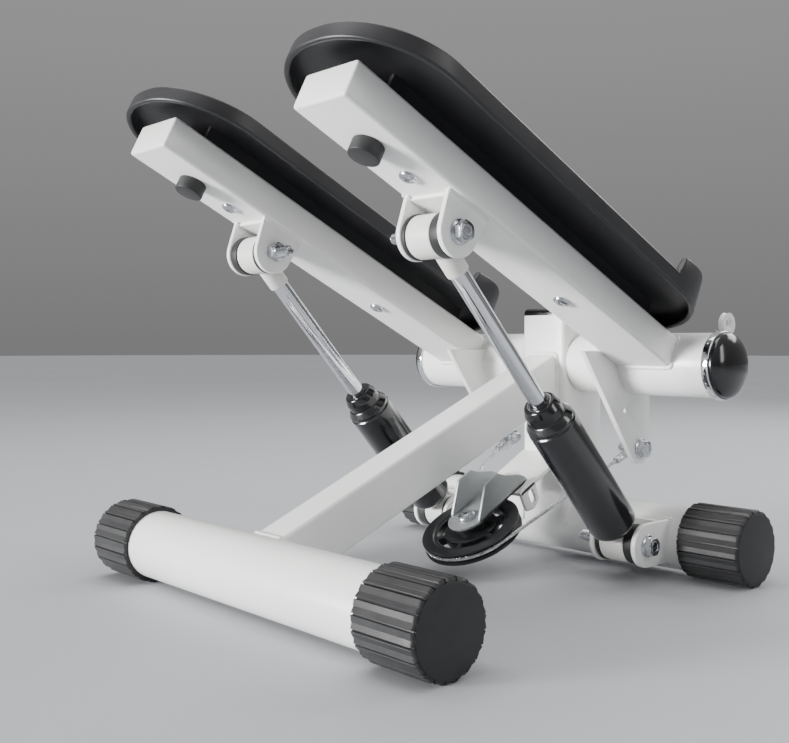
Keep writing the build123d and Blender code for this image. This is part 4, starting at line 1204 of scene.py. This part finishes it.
def add_cylinders():
    barrel_r, rod_r, eye_r = 18.5, 6.5, 14.5
    start, stop, guide_top = 18.0, 138.0, 150.0
    profile = rounded([(0, start), (barrel_r, start), (barrel_r, stop - 9), (barrel_r - 1.2, stop - 8),
                       (barrel_r - 1.2, stop - 6.5), (barrel_r - 0.2, stop - 5.5), (barrel_r - 4, stop), (0, stop)],
                      [0, 7, 0.8, 0.6, 0.6, 1.4, 2.5, 0], 6, False)
    lay = CYLINDER_FRAME @ shift(CYLINDER_X)
    both_sides(moved(turned(profile, 96), lay), "barrel_enamelled", "cylinder", "barrel", "cylinder_barrel",
               sharp=50)
    nose = turned(rounded([(rod_r + 0.1, stop - 2), (14, stop - 2), (14, stop + 6), (11.5, guide_top),
                           (rod_r + 1.6, guide_top), (rod_r + 0.1, guide_top - 1.5)],
                          [0, 0, 3, 2.5, 0.5, 0.3], 4), 72, True)
    wiper = collar(rod_r + 0.06, rod_r + 1.7, guide_top - 3, guide_top + 0.8, 0.5)
    both_sides(moved(join(nose, wiper), lay), "rod_guide", "cylinder", "plug", "cylinder_gland", sharp=50)
    upper_eye = ARM_FRAME @ Vector((0, -UPPER_PIVOT_ALONG, -UPPER_PIVOT_BELOW - UPPER_EYE_DROP))
    length_to_eye = (upper_eye - LOWER_PIVOT).length / MM
    rod = puck(rod_r, 72, length_to_eye - 22, 0.5, 64)
    both_sides(moved(rod, lay), "rod_chromed", "rod", "chrome", "piston_rod")
    for name, centre, bore, neck, body in (
            ("lower_eye", 0.0, BOLT_R + 0.05, (eye_r - 4, start + 0.6), "cylinder"),
            ("upper_eye", length_to_eye, 5.7, (length_to_eye - 30, length_to_eye - eye_r + 4), "rod")):
        hoop = moved(collar(bore, eye_r, EYE_START, EYE_STOP, 1.0, 96), along_x(0, 0, centre))
        stub = moved(puck(8.0, *neck, 0.8, 64), shift(CYLINDER_X))
        both_sides(moved(join(hoop, stub), CYLINDER_FRAME), f"{name}_nylon", body, "eye", name, sharp=50)
        ear_gap, eye_gap = 0.3, 0.05
        washers = [collar(bore, eye_r + 0.6, EAR_INNER + EAR_THICKNESS + ear_gap, EYE_START - eye_gap, 0.35, 96),
                   collar(bore, eye_r + 0.6, EYE_STOP + eye_gap, EAR_OUTER - EAR_THICKNESS - ear_gap, 0.9, 96)]
        laid = moved(join(*washers), CYLINDER_FRAME @ along_x(0, 0, centre))
        both_sides(laid, f"{name}_rubbers", body, "rubber", f"{name}_washers")


def dress_kept_nodes():
    """Finishes for the CAD parts that show as they are."""
    for node, look in (("pivot_shaft", "steel"), ("sleeve_bushes_left", "eye"), ("sleeve_bushes_right", "eye"),
                       ("pulley_bush", "bronze"), ("piston_left", "steel"), ("piston_right", "steel")):
        kept = frame["nodes"][node]
        kept.data.materials.clear()
        kept.data.materials.append(finish(look))


# ---- stage ----

# name, place, share of the key light's power, width and height in metres
LIGHTS = (("low_key", (-1.4, -3.2, 0.38), 0.28, 0.0, 0.0), ("overhead", (-0.3, -0.2, 1.7), 0.5, 1.6, 1.2),
          ("side", (1.7, 0.4, 0.9), 0.2, 0.4, 1.2), ("back", (0.2, 1.7, 1.2), 0.5, 1.6, 0.7))
LOW_KEY_ANGLE = math.radians(22)
AIM = Vector((0, 0, 0.18))


def add_light(name, spot, power, width, height):
    """Soft rectangular light that faces the stepper, or without a size an even glow from far away."""
    data = bpy.data.lights.new(name, "AREA" if width else "SUN")
    if width:
        data.shape = "RECTANGLE"
        data.size, data.size_y = width, height
    else:
        data.angle = LOW_KEY_ANGLE
    data.energy = power
    lamp = bpy.data.objects.new(name, data)
    lamp.location = spot
    lamp.rotation_mode = "QUATERNION"
    lamp.rotation_quaternion = (AIM - Vector(spot)).to_track_quat("-Z", "Y")
    bpy.context.collection.objects.link(lamp)


def add_stage():
    stage = bpy.context.scene.stepper_stage
    data = bpy.data.cameras.new("camera")
    data.lens, data.sensor_width = stage.lens, 36
    data.shift_x, data.shift_y = stage.shift
    data.clip_start, data.clip_end = 0.01, 100
    camera = bpy.data.objects.new("camera", data)
    camera.location = stage.camera
    level = math.cos(stage.pitch)
    looks = Vector((-math.sin(stage.azimuth) * level, math.cos(stage.azimuth) * level, math.sin(stage.pitch)))
    camera.rotation_mode = "QUATERNION"
    camera.rotation_quaternion = looks.to_track_quat("-Z", "Y")
    bpy.context.collection.objects.link(camera)
    bpy.context.scene.camera = camera
    ground = bmesh.new()
    bmesh.ops.create_circle(ground, cap_ends=True, radius=12, segments=96)
    mesh = bpy.data.meshes.new("floor")
    ground.to_mesh(mesh)
    ground.free()
    mesh.materials.append(finish("floor"))
    floor = bpy.data.objects.new("floor", mesh)
    bpy.context.collection.objects.link(floor)
    for name, spot, share, width, height in LIGHTS:
        add_light(name, spot, stage.key * share, width, height)
    world = bpy.data.worlds.new("studio")
    world.use_nodes = True
    tree = world.node_tree
    tree.nodes.clear()
    aim = add(tree, "ShaderNodeSeparateXYZ", {"Vector": add(tree, "ShaderNodeTexCoord").outputs["Generated"]})
    glow = add(tree, "ShaderNodeMapRange", {"Value": aim.outputs["Z"], "From Min": 0.0, "From Max": 0.9,
                                            "To Min": stage.sky * 0.55, "To Max": stage.sky * 1.5})
    sky = add(tree, "ShaderNodeBackground", {"Color": (1, 1, 1, 1), "Strength": glow})
    add(tree, "ShaderNodeOutputWorld", {"Surface": sky})
    bpy.context.scene.world = world


# ---- operators, one for each group of pieces ----

class STEPPER_OT_stage(bpy.types.Operator):
    """Sets the camera, the floor and the lights"""
    bl_idname = "stepper.stage"
    bl_label = "Stage"

    def execute(self, context):
        add_stage()
        return {"FINISHED"}


class STEPPER_OT_base(bpy.types.Operator):
    """Makes the cross tubes, the post, the beam and their welds"""
    bl_idname = "stepper.base"
    bl_label = "Base frame"

    def execute(self, context):
        add_base()
        return {"FINISHED"}


class STEPPER_OT_foot_caps(bpy.types.Operator):
    """Makes the ribbed rubber caps on the ends of the cross tubes"""
    bl_idname = "stepper.foot_caps"
    bl_label = "Foot caps"

    def execute(self, context):
        add_foot_caps()
        return {"FINISHED"}


class STEPPER_OT_shaft_ends(bpy.types.Operator):
    """Makes the washers and screws on the ends of the pivot shaft"""
    bl_idname = "stepper.shaft_ends"
    bl_label = "Shaft ends"

    def execute(self, context):
        add_shaft_ends()
        return {"FINISHED"}


class STEPPER_OT_clevises(bpy.types.Operator):
    """Makes the upper and lower clevises with their bolts"""
    bl_idname = "stepper.clevises"
    bl_label = "Clevises"

    def execute(self, context):
        add_lower_clevises()
        add_upper_clevises()
        return {"FINISHED"}


class STEPPER_OT_pulley(bpy.types.Operator):
    """Makes the pulley, its bracket and its bolt"""
    bl_idname = "stepper.pulley"
    bl_label = "Pulley"

    def execute(self, context):
        add_pulley()
        add_pulley_bracket()
        return {"FINISHED"}


class STEPPER_OT_cable(bpy.types.Operator):
    """Makes the steel cable out of twisted strands"""
    bl_idname = "stepper.cable"
    bl_label = "Cable"

    def execute(self, context):
        add_cable()
        return {"FINISHED"}


class STEPPER_OT_sleeves(bpy.types.Operator):
    """Makes the sleeves on the shaft with their plugs and bands"""
    bl_idname = "stepper.sleeves"
    bl_label = "Sleeves"

    def execute(self, context):
        add_sleeves()
        return {"FINISHED"}


class STEPPER_OT_arms(bpy.types.Operator):
    """Makes the arms, their welds, bumpers, screws and lever plates"""
    bl_idname = "stepper.arms"
    bl_label = "Arms"

    def execute(self, context):
        add_arms()
        add_lever_plates()
        return {"FINISHED"}


class STEPPER_OT_pedals(bpy.types.Operator):
    """Makes the moulded pedals and their tread"""
    bl_idname = "stepper.pedals"
    bl_label = "Pedals"

    def execute(self, context):
        add_pedals()
        return {"FINISHED"}


class STEPPER_OT_cylinders(bpy.types.Operator):
    """Makes the hydraulic cylinders, their rods and their eyes"""
    bl_idname = "stepper.cylinders"
    bl_label = "Cylinders"

    def execute(self, context):
        add_cylinders()
        return {"FINISHED"}


class STEPPER_OT_kept_nodes(bpy.types.Operator):
    """Gives the CAD parts that show as they are their finishes"""
    bl_idname = "stepper.kept_nodes"
    bl_label = "Kept parts"

    def execute(self, context):
        dress_kept_nodes()
        return {"FINISHED"}


OPERATORS = (STEPPER_OT_stage, STEPPER_OT_base, STEPPER_OT_foot_caps, STEPPER_OT_shaft_ends, STEPPER_OT_clevises,
             STEPPER_OT_pulley, STEPPER_OT_cable, STEPPER_OT_sleeves, STEPPER_OT_arms, STEPPER_OT_pedals,
             STEPPER_OT_cylinders, STEPPER_OT_kept_nodes)


class STEPPER_PT_panel(bpy.types.Panel):
    """Lists the stepper's sizes, colours and operators"""
    bl_label = "Mini stepper"
    bl_idname = "STEPPER_PT_panel"
    bl_space_type = "VIEW_3D"
    bl_region_type = "UI"
    bl_category = "Stepper"

    def draw(self, context):
        column = self.layout.column()
        for operator in OPERATORS:
            column.operator(operator.bl_idname)
        for group in (context.scene.stepper_sizes, context.scene.stepper_colours, context.scene.stepper_stage):
            for name in group.__annotations__:
                column.prop(group, name)


CLASSES = (StepperSizes, StepperColours, StepperStage, *OPERATORS, STEPPER_PT_panel)


def register():
    for each in CLASSES:
        bpy.utils.register_class(each)
    bpy.types.Scene.stepper_sizes = bpy.props.PointerProperty(type=StepperSizes)
    bpy.types.Scene.stepper_colours = bpy.props.PointerProperty(type=StepperColours)
    bpy.types.Scene.stepper_stage = bpy.props.PointerProperty(type=StepperStage)


def unregister():
    del bpy.types.Scene.stepper_stage
    del bpy.types.Scene.stepper_colours
    del bpy.types.Scene.stepper_sizes
    for each in reversed(CLASSES):
        bpy.utils.unregister_class(each)


def main():
    register()
    for operator in OPERATORS:
        group, name = operator.bl_idname.split(".")
        getattr(getattr(bpy.ops, group), name)()


if __name__ == "__main__":
    main()
